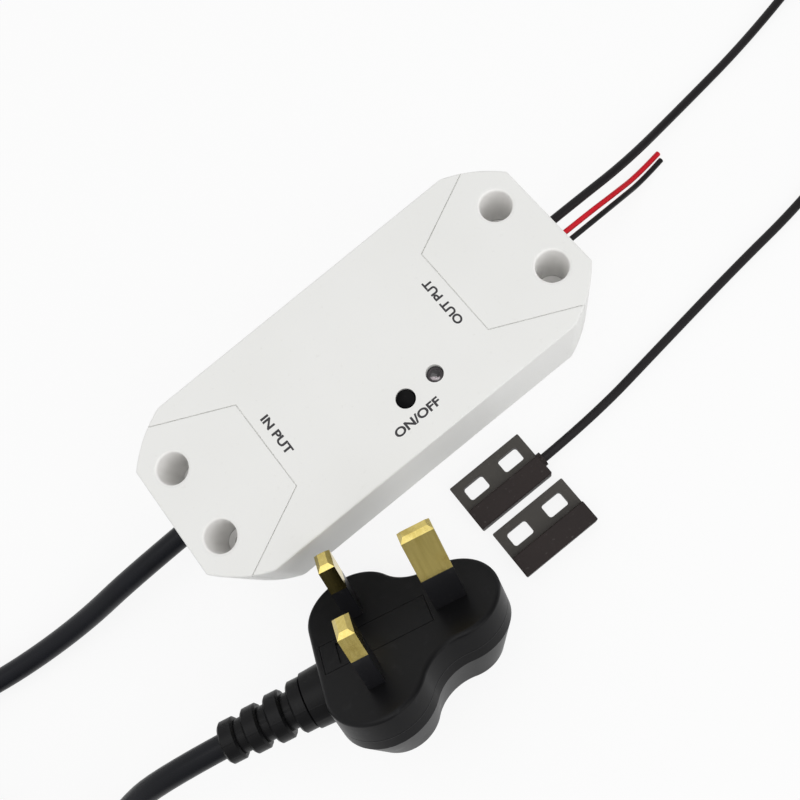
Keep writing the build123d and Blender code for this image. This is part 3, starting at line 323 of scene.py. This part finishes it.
class Growth(Net):
    """A Geometry Nodes tree with named inputs, whose result is made real and given a material."""

    def __init__(self, name, **inputs):
        self.tree = bpy.data.node_groups.new(name, "GeometryNodeTree")
        self.tree.interface.new_socket("Geometry", in_out="OUTPUT", socket_type="NodeSocketGeometry")
        self.labels = {}
        for label, kind in inputs.items():
            socket = self.tree.interface.new_socket(label, in_out="INPUT", socket_type="NodeSocket" + kind)
            self.labels[label] = socket.identifier
        given = self.tree.nodes.new("NodeGroupInput")
        self.given = {socket.name: Sock(self, socket) for socket in given.outputs if socket.name}

    def close(self, geometry, material):
        """Ends the tree: the result is made real and given its material."""
        real = self.node("GeometryNodeRealizeInstances", {}, {0: geometry})
        done = self.node("GeometryNodeSetMaterial", {}, {"Geometry": real, "Material": material})
        self.tree.links.new(done.socket, self.tree.nodes.new("NodeGroupOutput").inputs[0])

    def grow(self, name, place, body, **values):
        """One piece of the tree's result, moved to its place and riding on a body."""
        piece = bpy.data.objects.new(name, bpy.data.meshes.new(name))
        scene.collection.objects.link(piece)
        modifier = piece.modifiers.new("grow", "NODES")
        modifier.node_group = self.tree
        for label, value in values.items():
            modifier[self.labels[label]] = value
        mesh = bpy.data.meshes.new_from_object(piece.evaluated_get(bpy.context.evaluated_depsgraph_get()))
        piece.modifiers.remove(modifier)
        mesh.transform(place)
        piece.data = mesh
        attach(piece, body)
        return piece


copper = drawn_metal("strand_copper", rgb(196, 116, 76), rgb(226, 150, 106), 0.3)
strands = Growth("wire_strands", Ring="Float", Thickness="Float", Proud="Float", Round="Int")
hexagon = strands.node("GeometryNodeMeshCircle", {}, {
    "Vertices": strands.given["Round"], "Radius": strands.given["Ring"]})
middle = strands.node("GeometryNodeMeshLine", {}, {"Count": 1})
strand = strands.node("GeometryNodeMeshCylinder", {}, {
    "Vertices": 12, "Radius": strands.given["Thickness"] * 0.5, "Depth": strands.given["Proud"]})
bundle = strands.node("GeometryNodeJoinGeometry", {}, {0: [hexagon, middle]})
bundle = strands.node("GeometryNodeInstanceOnPoints", {}, {"Points": bundle, "Instance": strand})
strands.close(bundle, copper)

wire_diameter = 0.0015
wire_start, wire_bend, wire_level = 0.0342, 0.069, 0.0134
# Each wire has its place across the box, its bends outside it, and its darker and lighter colour.
wires = {
    "red": (-0.00187, ((0.083, -0.0004, 0.0074), (0.093, 0.0012, 0.0019), (0.1018, 0.0027, 0.00085)),
            rgb(194, 12, 30), rgb(212, 22, 40)),
    "black": (-0.00441, ((0.083, -0.0026, 0.0074), (0.0925, -0.0009, 0.0019), (0.101, 0.0007, 0.00085)),
              rgb(16, 15, 16), rgb(28, 26, 28)),
}
for name, (y, outside, dark, light) in wires.items():
    wire_route = [(wire_start, y, wire_level), (wire_bend, y, wire_level), *outside]
    wire = cord_curve("output_" + name, wire_route, wire_diameter)
    dress(wire, sheath("wire_" + name, dark, light, 0.32, coat=0.08))
    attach(wire, "controller")
    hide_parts(name + "_wire")
    "wire_" + name

    before, tip = Vector(outside[-2]), Vector(outside[-1])
    facing = (tip - before).to_track_quat("Z", "Y").to_matrix().to_4x4()
    cut_end = strands.grow(name + "_strands", Matrix.Translation(tip) @ facing, "controller",
                           Ring=0.00029, Thickness=0.00026, Proud=0.00008, Round=6)


# Housing
# Spark-textured white ABS: a base plate, a top cover and two end covers, with
# a hair seam between them and a screw well at each corner.

box_top = 0.027
well_x, well_y, well_radius = 0.052, 0.01075, 0.00415
ejector_x, ejector_y, ejector_radius = 0.034, 0.0145, 0.002


def white_moulding(name):
    """White ABS with mould grain, with painted light that makes the walls of the wells lighter.

    The underside carries the marks of four ejector pins, and the gate in the middle."""
    finish = Finish(name)
    x, y, z = finish.split(finish.place)
    # Painted light: above the floor of the box, the walls of the wells are made nearly pure white so that
    # they show lighter than their shade leaves them.
    from_x = finish.maths("ABSOLUTE", x) - well_x
    from_y = finish.maths("ABSOLUTE", y) - well_y
    well_reach = (from_x * from_x + from_y * from_y) ** 0.5
    outside = finish.window(well_reach, well_radius + 0.0002, well_radius + 0.0006)
    well_painted_light = (1 - outside) * finish.window(z, 0.003, 0.004)
    pin_x = finish.maths("ABSOLUTE", x) - ejector_x
    pin_y = finish.maths("ABSOLUTE", y) - ejector_y
    pin_reach = (pin_x * pin_x + pin_y * pin_y) ** 0.5
    below = 1 - finish.window(z, 0.0001, 0.0004)
    pressed = finish.window(pin_reach, ejector_radius - 0.0001, ejector_radius + 0.0001) * below
    gate = finish.window((x * x + y * y) ** 0.5, 0.0008, 0.0011) * below
    tone = finish.noise(35, detail=3)
    grain = finish.noise(5200, detail=3, rough=0.6)
    dust = finish.window(finish.noise(700, detail=4), 0.62, 0.8)
    clean = finish.blend(tone, rgb(233, 233, 230), rgb(240, 240, 238))
    skin = finish.blend(dust * 0.25, clean, rgb(216, 214, 210))
    return finish.surface(
        Base_Color=finish.blend(well_painted_light, skin, rgb(253, 252, 250)),
        Roughness=finish.between(tone, 0.42, 0.5),
        Normal=finish.bump(grain, 0.00002, 0.35, under=finish.bump(pressed + gate * 0.8, 0.00012, 0.8)))


housing_white = white_moulding("housing_white")
for name in ("base_plate", "top_cover", "input_cover", "output_cover"):
    dress(nodes[name], housing_white)

# A lip of each end cover lies just below the seam, on the top and down both
# sides, so that the seam is a shallow line.
lip_below = 0.00052
lips = Growth("seam_lips", Near_X="Float", Near_Y="Float", Far_X="Float", Far_Y="Float", Post_X="Float",
              Post_Y="Float", Post_Height="Float", Width="Float", Depth="Float")
bends = []
for reach, side in (("Far", 1.0), ("Near", 1.0), ("Near", -1.0), ("Far", -1.0)):
    bend = {0: lips.given[reach + "_X"], 1: lips.given[reach + "_Y"] * side}
    bends.append(lips.node("ShaderNodeCombineXYZ", {}, bend))
bend_line = lips.node("GeometryNodeCurvePrimitiveQuadrilateral", {"mode": "POINTS"}, {
    "Point 1": bends[0], "Point 2": bends[1], "Point 3": bends[2], "Point 4": bends[3]})
bend_line = lips.node("GeometryNodeSetSplineCyclic", {}, {"Geometry": bend_line, "Cyclic": False})
lip_section = lips.node("GeometryNodeCurvePrimitiveQuadrilateral", {}, {
    "Width": lips.given["Width"], "Height": lips.given["Depth"]})
one_end = [lips.node("GeometryNodeCurveToMesh", {}, {
    "Curve": bend_line, "Profile Curve": lip_section, "Fill Caps": True})]
post = lips.node("GeometryNodeMeshCylinder", {}, {
    "Vertices": 16, "Radius": lips.given["Width"] * 0.5, "Depth": lips.given["Post_Height"]})
for side in (1.0, -1.0):
    foot = lips.node("ShaderNodeCombineXYZ", {}, {
        0: lips.given["Post_X"], 1: lips.given["Post_Y"] * side, 2: lips.given["Post_Height"] * -0.5})
    one_end.append(lips.node("GeometryNodeTransform", {}, {"Geometry": post, "Translation": foot}))
one_end = lips.node("GeometryNodeJoinGeometry", {}, {0: one_end})
other_end = lips.node("GeometryNodeTransform", {}, {"Geometry": one_end, "Rotation": (0.0, 0.0, math.pi)})
lips.close(lips.node("GeometryNodeJoinGeometry", {}, {0: [one_end, other_end]}), housing_white)
cover_lips = lips.grow("cover_lips", Matrix.Translation((0, 0, box_top - lip_below)), "controller",
                       Near_X=0.0299, Near_Y=0.0131, Far_X=0.0510, Far_Y=0.02338, Post_X=0.05041,
                       Post_Y=0.02309, Post_Height=0.0235, Width=0.0007, Depth=0.00026)


# Push button
# Glossy black cap on the left of the pair, in a hole through the top cover.
# It presses a tactile switch on the board by half a millimetre.

dress(nodes["button_cap"], moulded("button_black", rgb(5, 5, 5), rgb(11, 11, 12), 0.2,
                                   grain=1500, depth=0.000004, shine=0.06, dusty=0.03))
dress(nodes["switch_plunger"], moulded("plunger_black", rgb(22, 22, 22), rgb(34, 34, 34), 0.4))
dress(nodes["push_switch"], drawn_metal("switch_steel", rgb(150, 151, 154), rgb(192, 193, 196), 0.34))


# Status light
# A smoky guide above an LED. From outside it is a small lens with a dark middle,
# and a painted highlight, broken into specks, lies on one side of it.

light_x, light_y, lens_radius = 0.0131, -0.0131, 0.0021
glint_towards = (-0.62, -0.785)
lens_finish = Finish("guide_smoke")
lens_place = lens_finish.split(lens_finish.place)
across, along = lens_place[0] - light_x, lens_place[1] - light_y
reach = (across * across + along * along) ** 0.5 / lens_radius
ring = lens_finish.window(reach + lens_finish.noise(900) * 0.12, 0.5, 0.85)
# Painted highlight: a pale crescent on one side of the lens, broken into specks, in place of a reflection.
glint_side = across * glint_towards[0] + along * glint_towards[1]
glint = lens_finish.window(glint_side / lens_radius, 0.12, 0.4) - lens_finish.window(reach, 0.6, 0.78)
glint_broken = glint * lens_finish.window(lens_finish.noise(2600, detail=1), 0.3, 0.55)
rim = lens_finish.window(reach, 0.86, 0.99)
haze = lens_finish.noise(2200, detail=4)
lens_dark = lens_finish.blend(ring, rgb(8, 5, 7), rgb(70, 65, 68))
lens_edged = lens_finish.blend(rim, lens_dark, rgb(30, 27, 29))
dress(nodes["light_guide"], lens_finish.surface(
    Base_Color=lens_finish.blend(lens_finish.window(glint_broken, 0.1, 0.9), lens_edged, rgb(180, 170, 174)),
    Roughness=lens_finish.between(haze, 0.08, 0.2),
    Normal=lens_finish.bump(haze, 0.000006, 0.4),
    Coat_Weight=0.5, Coat_Roughness=0.06))
dress(nodes["status_led"], moulded("led_epoxy", rgb(196, 206, 214), rgb(224, 230, 234), 0.12,
                                   grain=900, depth=0.000004, coat=0.8))


# Lettering
# Dark grey pad print on the cover: the button's name, and the name of each end,
# turned a quarter so that it runs along that end's seam.

ink_height, ink_thickness, ink_weight = 0.00235, 0.00002, 0.034
ink_finish = Finish("print_ink")
ink_wear = ink_finish.noise(4200, detail=3)
ink_black = ink_finish.surface(
    Base_Color=ink_finish.blend(ink_wear, rgb(24, 23, 26), rgb(52, 50, 54)),
    Roughness=ink_finish.between(ink_wear, 0.5, 0.62),
    Normal=ink_finish.bump(ink_wear, 0.00001, 0.4))
# Each print has its word, its middle on the cover, its turn in degrees and its width.
words = {
    "button_print": ("ON/OFF", (0.0031, -0.0189), 0.8, 0.0135),
    "input_print": ("IN PUT", (-0.0262, 0.0002), -90.0, 0.0116),
    "output_print": ("OUT PUT", (0.0260, -0.0002), 90.0, 0.0142),
}
for name, (word, (x, y), turn, width) in words.items():
    text = bpy.data.curves.new(name, "FONT")
    text.body = word
    text.align_x, text.align_y = "CENTER", "CENTER"
    text.extrude = 0.5
    text.offset = ink_weight
    holder = bpy.data.objects.new(name, text)
    scene.collection.objects.link(holder)
    mesh = bpy.data.meshes.new_from_object(holder.evaluated_get(bpy.context.evaluated_depsgraph_get()))
    bpy.data.objects.remove(holder)
    low = Vector([min(v.co[i] for v in mesh.vertices) for i in range(3)])
    high = Vector([max(v.co[i] for v in mesh.vertices) for i in range(3)])
    size = high - low
    scale = Matrix.Diagonal((width / size.x, ink_height / size.y, ink_thickness / size.z, 1.0))
    mesh.transform(Matrix.Translation((x, y, box_top)) @ Matrix.Rotation(math.radians(turn), 4, "Z")
                   @ scale @ Matrix.Translation(-(low + high) / 2))
    piece = bpy.data.objects.new(name, mesh)
    scene.collection.objects.link(piece)
    dress(piece, ink_black)
    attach(piece, "controller")


# Plug
# Moulded 13 A plug in black PVC, with brass pins, a nylon sleeve on each pin,
# and a drawer in its face that holds the fuse.

parting_level = -0.0062
fuse_middle, fuse_bare_half = -0.0042, 0.0068


def plug_frame(finish):
    """Coordinates that follow the plug: its pins along z and its cord side towards -y."""
    back = plug_place.inverted()
    return finish.node("ShaderNodeMapping", {}, {
        "Vector": finish.place, "Rotation": back.to_euler(), "Location": back.translation})


plug_finish = Finish("plug_black")
plug_finish.place = plug_frame(plug_finish)
plug_tone = plug_finish.noise(55, detail=3)
plug_spark = plug_finish.noise(2400, detail=3, rough=0.6)
plug_rub = plug_finish.window(plug_finish.noise(240, detail=5, rough=0.65), 0.56, 0.72)
plug_level = plug_finish.split(plug_finish.place)[2]
from_parting = plug_finish.maths("ABSOLUTE", plug_level - parting_level)
parting = 1 - plug_finish.window(from_parting, 0.00006, 0.0002)
plug_clean = plug_finish.blend(plug_tone, rgb(9, 9, 10), rgb(16, 16, 18))
plug_black = plug_finish.surface(
    Base_Color=plug_finish.blend(plug_rub * 0.5, plug_clean, rgb(28, 28, 30)),
    Roughness=plug_finish.between(plug_tone, 0.32, 0.44) - plug_rub * 0.06 + parting * 0.1,
    Normal=plug_finish.bump(plug_spark * 0.5 + parting * 1.5, 0.00005, 0.5),
    Specular_IOR_Level=0.17)
for name in ("plug_body", "plug_strain_relief", "fuse_carrier"):
    dress(nodes[name], plug_black)
dress(nodes["pin_sleeves"], moulded("sleeve_nylon", rgb(17, 17, 19), rgb(28, 28, 31), 0.3,
                                    depth=0.00001, coat=0.1, shine=0.3, dusty=0.05))
brass_finish = Finish("pin_brass")
brass_finish.place = plug_frame(brass_finish)
brass_streak = brass_finish.noise(1400, detail=3, stretch=(1, 1, 0.05))
brass_stain = brass_finish.window(brass_finish.noise(130, detail=4, rough=0.55), 0.5, 0.72)
brass_wipe = brass_finish.window(brass_finish.noise(2400, detail=1, stretch=(1, 1, 0.03)), 0.66, 0.74)
brass_clean = brass_finish.blend(brass_streak, rgb(192, 172, 92), rgb(224, 206, 132))
brass = brass_finish.surface(
    Base_Color=brass_finish.blend(brass_stain * 0.45, brass_clean, rgb(142, 118, 44)),
    Metallic=1.0,
    Roughness=brass_finish.between(brass_streak, 0.13, 0.22) + brass_stain * 0.12,
    Normal=brass_finish.bump(brass_streak + brass_wipe * 0.5, 0.000006, 0.35))
for name in ("pin_live", "pin_neutral", "pin_earth"):
    dress(nodes[name], brass)

fuse_finish = Finish("fuse_ceramic")
fuse_along = fuse_finish.split(plug_frame(fuse_finish))[1]
from_middle = fuse_finish.maths("ABSOLUTE", fuse_along - fuse_middle)
cap = fuse_finish.window(from_middle, fuse_bare_half, fuse_bare_half + 0.0002)
fuse_tone = fuse_finish.noise(1200, detail=3)
dress(nodes["plug_fuse"], fuse_finish.surface(
    Base_Color=fuse_finish.blend(cap, rgb(226, 218, 200), rgb(196, 190, 176)),
    Metallic=cap,
    Roughness=fuse_finish.between(fuse_tone, 0.24, 0.4),
    Normal=fuse_finish.bump(fuse_tone, 0.00001, 0.4)))


# Reed sensor and magnet
# Two alike moulded blocks in brown-black ABS, each with a thin slotted flange.
# The flange is a little greyer than the raised half that holds reed or magnet.

flange_top = 0.0028
block_finish = Finish("sensor_abs")
raised = block_finish.window(block_finish.split(block_finish.place)[2], flange_top, flange_top + 0.0004)
block_tone = block_finish.noise(60, detail=3)
block_grain = block_finish.noise(2600, detail=3, rough=0.6)
block_dust = block_finish.window(block_finish.noise(900, detail=4), 0.62, 0.8)
flange_grey = block_finish.blend(block_tone, rgb(62, 59, 56), rgb(74, 71, 67))
raised_brown = block_finish.blend(block_tone, rgb(26, 18, 17), rgb(37, 27, 25))
block_clean = block_finish.blend(raised, flange_grey, raised_brown)
block_black = block_finish.surface(
    Base_Color=block_finish.blend(block_dust * 0.18, block_clean, rgb(150, 148, 144)),
    Roughness=block_finish.between(block_grain, 0.5, 0.66),
    Normal=block_finish.bump(block_grain, 0.000015, 0.5),
    Specular_IOR_Level=0.3)
for name in ("sensor_body", "magnet_body"):
    dress(nodes[name], block_black)
dress(nodes["magnet_bar"], moulded("ferrite", rgb(58, 58, 62), rgb(84, 84, 88), 0.55,
                                   grain=4200, depth=0.00005))
dress(nodes["reed_capsule"], moulded("reed_glass", rgb(132, 150, 138), rgb(168, 182, 172), 0.08,
                                     grain=600, depth=0.000004, coat=0.9))


# Cable ties and clamps
# Black nylon ties with fine teeth hold the coils. White bars inside the box
# press the cables down, so that a pull on them goes into the base.

teeth_scale = 320.0
tie_finish = Finish("tie_nylon")
tie_teeth = tie_finish.node("ShaderNodeTexWave", {"wave_type": "BANDS", "bands_direction": "Z"},
                            {"Vector": tie_finish.place, "Scale": teeth_scale, "Distortion": 0.3})
tie_tone = tie_finish.noise(700, detail=3)
tie_black = tie_finish.surface(
    Base_Color=tie_finish.blend(tie_tone, rgb(20, 20, 22), rgb(38, 38, 41)),
    Roughness=tie_finish.between(tie_tone, 0.36, 0.5),
    Normal=tie_finish.bump(tie_teeth + tie_tone * 0.2, 0.00006, 0.5))
for name in ("mains_tie", "sensor_tie"):
    dress(nodes[name], tie_black)
clamp_white = moulded("clamp_white", rgb(226, 226, 222), rgb(238, 238, 235), 0.45)
for name in ("input_clamp", "output_clamp"):
    dress(nodes[name], clamp_white)


# Screws
# Zinc-plated cross-recess screws: four up into the cover, four in the board,
# four in the clamps. The cover screws show, so each head has a flat dark cross of painted shade where its
# recess is.

head_level = 0.0006
zinc = drawn_metal("screw_zinc", rgb(150, 152, 156), rgb(200, 202, 205), 0.3, tarnish=0.4)
for name in ("cover_screws", "board_screws", "clamp_screws", "terminal_screws"):
    dress(nodes[name], zinc)
# Painted shade: a thin dark cross on each cover screw head stands for the shade in its recess.
recess_painted_shade = moulded("recess_shadow", rgb(20, 20, 21), rgb(36, 36, 38), 0.7)
crosses = Growth("screw_recesses", Apart_X="Float", Apart_Y="Float",
                 Reach="Float", Width="Float", Depth="Float")
heads = crosses.node("GeometryNodeMeshGrid", {}, {
    "Size X": crosses.given["Apart_X"], "Size Y": crosses.given["Apart_Y"], "Vertices X": 2, "Vertices Y": 2})
arms = []
for along_x, along_y in (("Reach", "Width"), ("Width", "Reach")):
    arm = crosses.node("ShaderNodeCombineXYZ", {}, {
        0: crosses.given[along_x], 1: crosses.given[along_y], 2: crosses.given["Depth"]})
    arms.append(crosses.node("GeometryNodeMeshCube", {}, {"Size": arm}))
cross = crosses.node("GeometryNodeJoinGeometry", {}, {0: arms})
crosses_there = crosses.node("GeometryNodeInstanceOnPoints", {}, {"Points": heads, "Instance": cross})
crosses.close(crosses_there, recess_painted_shade)
crosses.grow("cover_screw_recesses", Matrix.Translation((0, 0, head_level)), "controller",
             Apart_X=0.0510, Apart_Y=0.0386, Reach=0.0026, Width=0.0006, Depth=0.00004)


# Circuit board
# Green double-sided board with tracks under the varnish. Its solder side
# carries joints, scattered with a fixed seed.

track_scale = 380.0
board_underside = 0.0070
board_finish = Finish("board_green")
cells = board_finish.node("ShaderNodeTexVoronoi", {"feature": "DISTANCE_TO_EDGE"},
                          {"Vector": board_finish.place, "Scale": track_scale})
track = board_finish.window(cells, 0.05, 0.09)
resin = board_finish.noise(500, detail=4)
mask_green = board_finish.blend(resin, rgb(10, 66, 40), rgb(16, 82, 50))
dress(nodes["circuit_board"], board_finish.surface(
    Base_Color=board_finish.blend(track, mask_green, rgb(30, 110, 66)),
    Roughness=board_finish.between(resin, 0.28, 0.4),
    Normal=board_finish.bump(track + resin * 0.2, 0.00003, 0.4)))
solder = drawn_metal("solder_tin", rgb(158, 160, 162), rgb(206, 207, 208), 0.26)
joints = Growth("solder_joints", Length="Float", Width="Float", Spacing="Float", Joint="Float", Seed="Int")
field = joints.node("GeometryNodeMeshGrid", {}, {
    "Size X": joints.given["Length"], "Size Y": joints.given["Width"]})
spots = joints.node("GeometryNodeDistributePointsOnFaces", {"distribute_method": "POISSON"}, {
    "Mesh": field, "Distance Min": joints.given["Spacing"], "Density Max": 90000.0,
    "Seed": joints.given["Seed"]})
mound = joints.node("GeometryNodeMeshCone", {}, {
    "Vertices": 10, "Radius Top": joints.given["Joint"] * 0.25, "Radius Bottom": joints.given["Joint"],
    "Depth": joints.given["Joint"]})
mounds = joints.node("GeometryNodeInstanceOnPoints", {}, {"Points": spots, "Instance": mound})
joints.close(mounds, solder)
face_down = Matrix.Translation((0, 0, board_underside)) @ Matrix.Rotation(math.pi, 4, "X")
joints.grow("solder_side", face_down, "controller",
            Length=0.060, Width=0.036, Spacing=0.0034, Joint=0.0007, Seed=7)


# Parts on the board
# Relay, transformer, capacitors, fuse resistor, varistor and radio, each in
# the colours that such parts are sold in.

dress(nodes["relay"], moulded("relay_blue", rgb(22, 62, 140), rgb(32, 78, 160), 0.32, coat=0.2))
sheet_scale, winding_scale = 620.0, 900.0
laminations = Finish("core_steel")
sheets = laminations.node("ShaderNodeTexWave", {"bands_direction": "Y"}, {
    "Vector": laminations.place, "Scale": sheet_scale, "Distortion": 0.1})
varnish = laminations.noise(800, detail=3)
dress(nodes["transformer_core"], laminations.surface(
    Base_Color=laminations.blend(sheets, rgb(52, 50, 48), rgb(96, 93, 88)),
    Metallic=0.6,
    Roughness=laminations.between(varnish, 0.4, 0.6),
    Normal=laminations.bump(sheets, 0.00005, 0.5)))
bobbin = Finish("bobbin_tape")
turns = bobbin.node("ShaderNodeTexWave", {"bands_direction": "Z"}, {
    "Vector": bobbin.place, "Scale": winding_scale, "Distortion": 0.4})
tape = bobbin.noise(600, detail=4)
dress(nodes["transformer_bobbin"], bobbin.surface(
    Base_Color=bobbin.blend(tape, rgb(214, 170, 44), rgb(234, 196, 74)),
    Roughness=bobbin.between(tape, 0.26, 0.42),
    Normal=bobbin.bump(turns * 0.4 + tape, 0.00005, 0.5)))
can_top_level, stripe_from = 0.02142, -0.0128
sleeve = Finish("capacitor_sleeve")
sleeve_across, _, sleeve_height = sleeve.split(sleeve.place)
can_top = sleeve.window(sleeve_height, can_top_level, can_top_level + 0.00008)
stripe = sleeve_across > stripe_from
sleeve_tone = sleeve.noise(500, detail=3)
sleeve_dark = sleeve.blend(sleeve_tone, rgb(20, 22, 30), rgb(32, 35, 46))
sleeve_striped = sleeve.blend(stripe, sleeve_dark, rgb(196, 198, 200))
dress(nodes["bulk_capacitors"], sleeve.surface(
    Base_Color=sleeve.blend(can_top, sleeve_striped, rgb(200, 201, 203)),
    Metallic=can_top,
    Roughness=sleeve.between(sleeve_tone, 0.26, 0.36),
    Normal=sleeve.bump(sleeve_tone, 0.00002, 0.4)))
dress(nodes["output_capacitor"], moulded("capacitor_green", rgb(30, 84, 62), rgb(42, 100, 76), 0.3, coat=0.2))
band_pitch, bare_share = 0.0019, 0.66
bands = Finish("resistor_bands")
band_wave = bands.maths("FRACT", bands.split(bands.place)[1] / band_pitch) > bare_share
band_tone = bands.noise(900, detail=3)
band_ground = bands.blend(band_tone, rgb(116, 146, 128), rgb(136, 164, 146))
dress(nodes["fuse_resistor"], bands.surface(
    Base_Color=bands.blend(band_wave, band_ground, rgb(96, 52, 30)),
    Roughness=bands.between(band_tone, 0.4, 0.55),
    Normal=bands.bump(band_tone, 0.00003, 0.4)))
dress(nodes["varistor"], moulded("varistor_blue", rgb(24, 70, 150), rgb(36, 88, 170), 0.3,
                                 grain=800, depth=0.00006, coat=0.4))
dress(nodes["surface_chips"], moulded("chip_epoxy", rgb(28, 28, 29), rgb(42, 42, 43), 0.6))
dress(nodes["radio_board"], moulded("radio_board_blue", rgb(14, 34, 82), rgb(22, 46, 102), 0.3, coat=0.3))
dress(nodes["radio_shield"], drawn_metal("shield_tin", rgb(168, 170, 172), rgb(206, 207, 209), 0.28,
                                         stretch=(1, 0.08, 1)))
for name in ("input_terminal", "output_terminal"):
    dress(nodes[name], moulded(name + "_green", rgb(28, 112, 62), rgb(40, 130, 76), 0.38))
core_colours = {
    "mains_live_core": (rgb(104, 60, 34), rgb(124, 74, 44)),
    "mains_neutral_core": (rgb(26, 74, 150), rgb(38, 90, 170)),
    "sensor_cores": (rgb(196, 190, 180), rgb(216, 210, 200)),
}
for name, (dark, light) in core_colours.items():
    dress(nodes[name], sheath(name + "_pvc", dark, light, 0.36))


# Floor and light
# A plain white table under soft light from above and from the front. It keeps
# the shadows, and to the camera it is nearly as white as the world.

floor_half, floor_level = 1.5, -0.0001
own_glow_share = 0.86
floor_mesh = bpy.data.meshes.new("floor")
floor_corners = [(x * floor_half, y * floor_half, floor_level)
                 for x, y in ((-1, -1), (1, -1), (1, 1), (-1, 1))]
floor_mesh.from_pydata(floor_corners, [], [(0, 1, 2, 3)])
floor = bpy.data.objects.new("floor", floor_mesh)
scene.collection.objects.link(floor)
table = Finish("table_white")
ray = table.tree.nodes.new("ShaderNodeLightPath")
seen = Sock(table, ray.outputs["Is Camera Ray"])
for kind in ("Is Glossy Ray", "Is Transmission Ray"):
    seen = seen + Sock(table, ray.outputs[kind])
paper = table.node("ShaderNodeBsdfDiffuse", {}, {"Color": (0.86, 0.86, 0.86, 1)})
glow = table.node("ShaderNodeEmission", {}, {"Color": (1, 1, 1, 1), "Strength": 1.0})
shown = table.node("ShaderNodeMixShader", {}, {0: seen * own_glow_share, 1: paper, 2: glow})
table_out = table.tree.nodes.new("ShaderNodeOutputMaterial")
table.tree.links.new(shown.socket, table_out.inputs["Surface"])
dress(floor, table.material)

# The world is white to the camera and even for soft light. Shiny surfaces see
# it fall away to grey on the side that faces the viewer.
world = bpy.data.worlds.new("studio")
world.use_nodes = True
scene.world = world
sky = Net()
sky.tree = world.node_tree
sky.tree.nodes.clear()
white = (1.0, 1.0, 1.0, 1.0)
even_strength, bright_strength, dim_strength, backdrop_strength = 0.66, 0.95, 0.36, 0.975
sky_ray = sky.node("ShaderNodeLightPath", {}, {}).socket.node.outputs
toward = sky.split(sky.node("ShaderNodeTexCoord", {}, {}))
slope = toward[1] * 0.6 - toward[0] * 0.45 + toward[2] * 0.5
falloff = sky.node("ShaderNodeMapRange", {"interpolation_type": "SMOOTHSTEP"},
                   {"Value": slope, "From Min": -0.25, "From Max": 0.75})
even = sky.node("ShaderNodeBackground", {}, {"Color": white, "Strength": even_strength})
bright = sky.node("ShaderNodeBackground", {}, {"Color": white, "Strength": bright_strength})
dim = sky.node("ShaderNodeBackground", {}, {"Color": white, "Strength": dim_strength})
falling = sky.node("ShaderNodeMixShader", {}, {0: falloff, 1: dim, 2: bright})
backdrop = sky.node("ShaderNodeBackground", {}, {"Color": white, "Strength": backdrop_strength})
lit = sky.node("ShaderNodeMixShader", {}, {0: Sock(sky, sky_ray["Is Glossy Ray"]), 1: even, 2: falling})
lit = sky.node("ShaderNodeMixShader", {}, {0: Sock(sky, sky_ray["Is Camera Ray"]), 1: lit, 2: backdrop})
sky.tree.links.new(lit.socket, sky.tree.nodes.new("ShaderNodeOutputWorld").inputs["Surface"])

# Each lamp faces the middle of the box, and has its place, width in metres and power in watts.
lamps = {
    "key": ((-0.15, 0.22, 0.95), 0.6, 1.05),
    "front": ((0.02, -0.30, 0.95), 0.3, 0.9),
    "fill": ((0.3, -0.75, 0.55), 0.7, 1.9),
}
for name, (place, width, power) in lamps.items():
    lamp = bpy.data.lights.new(name, "AREA")
    lamp.shape, lamp.size, lamp.energy = "SQUARE", width, power
    light = bpy.data.objects.new(name, lamp)
    light.location = place
    light.rotation_euler = (-Vector(place)).to_track_quat("-Z", "Y").to_euler()
    scene.collection.objects.link(light)
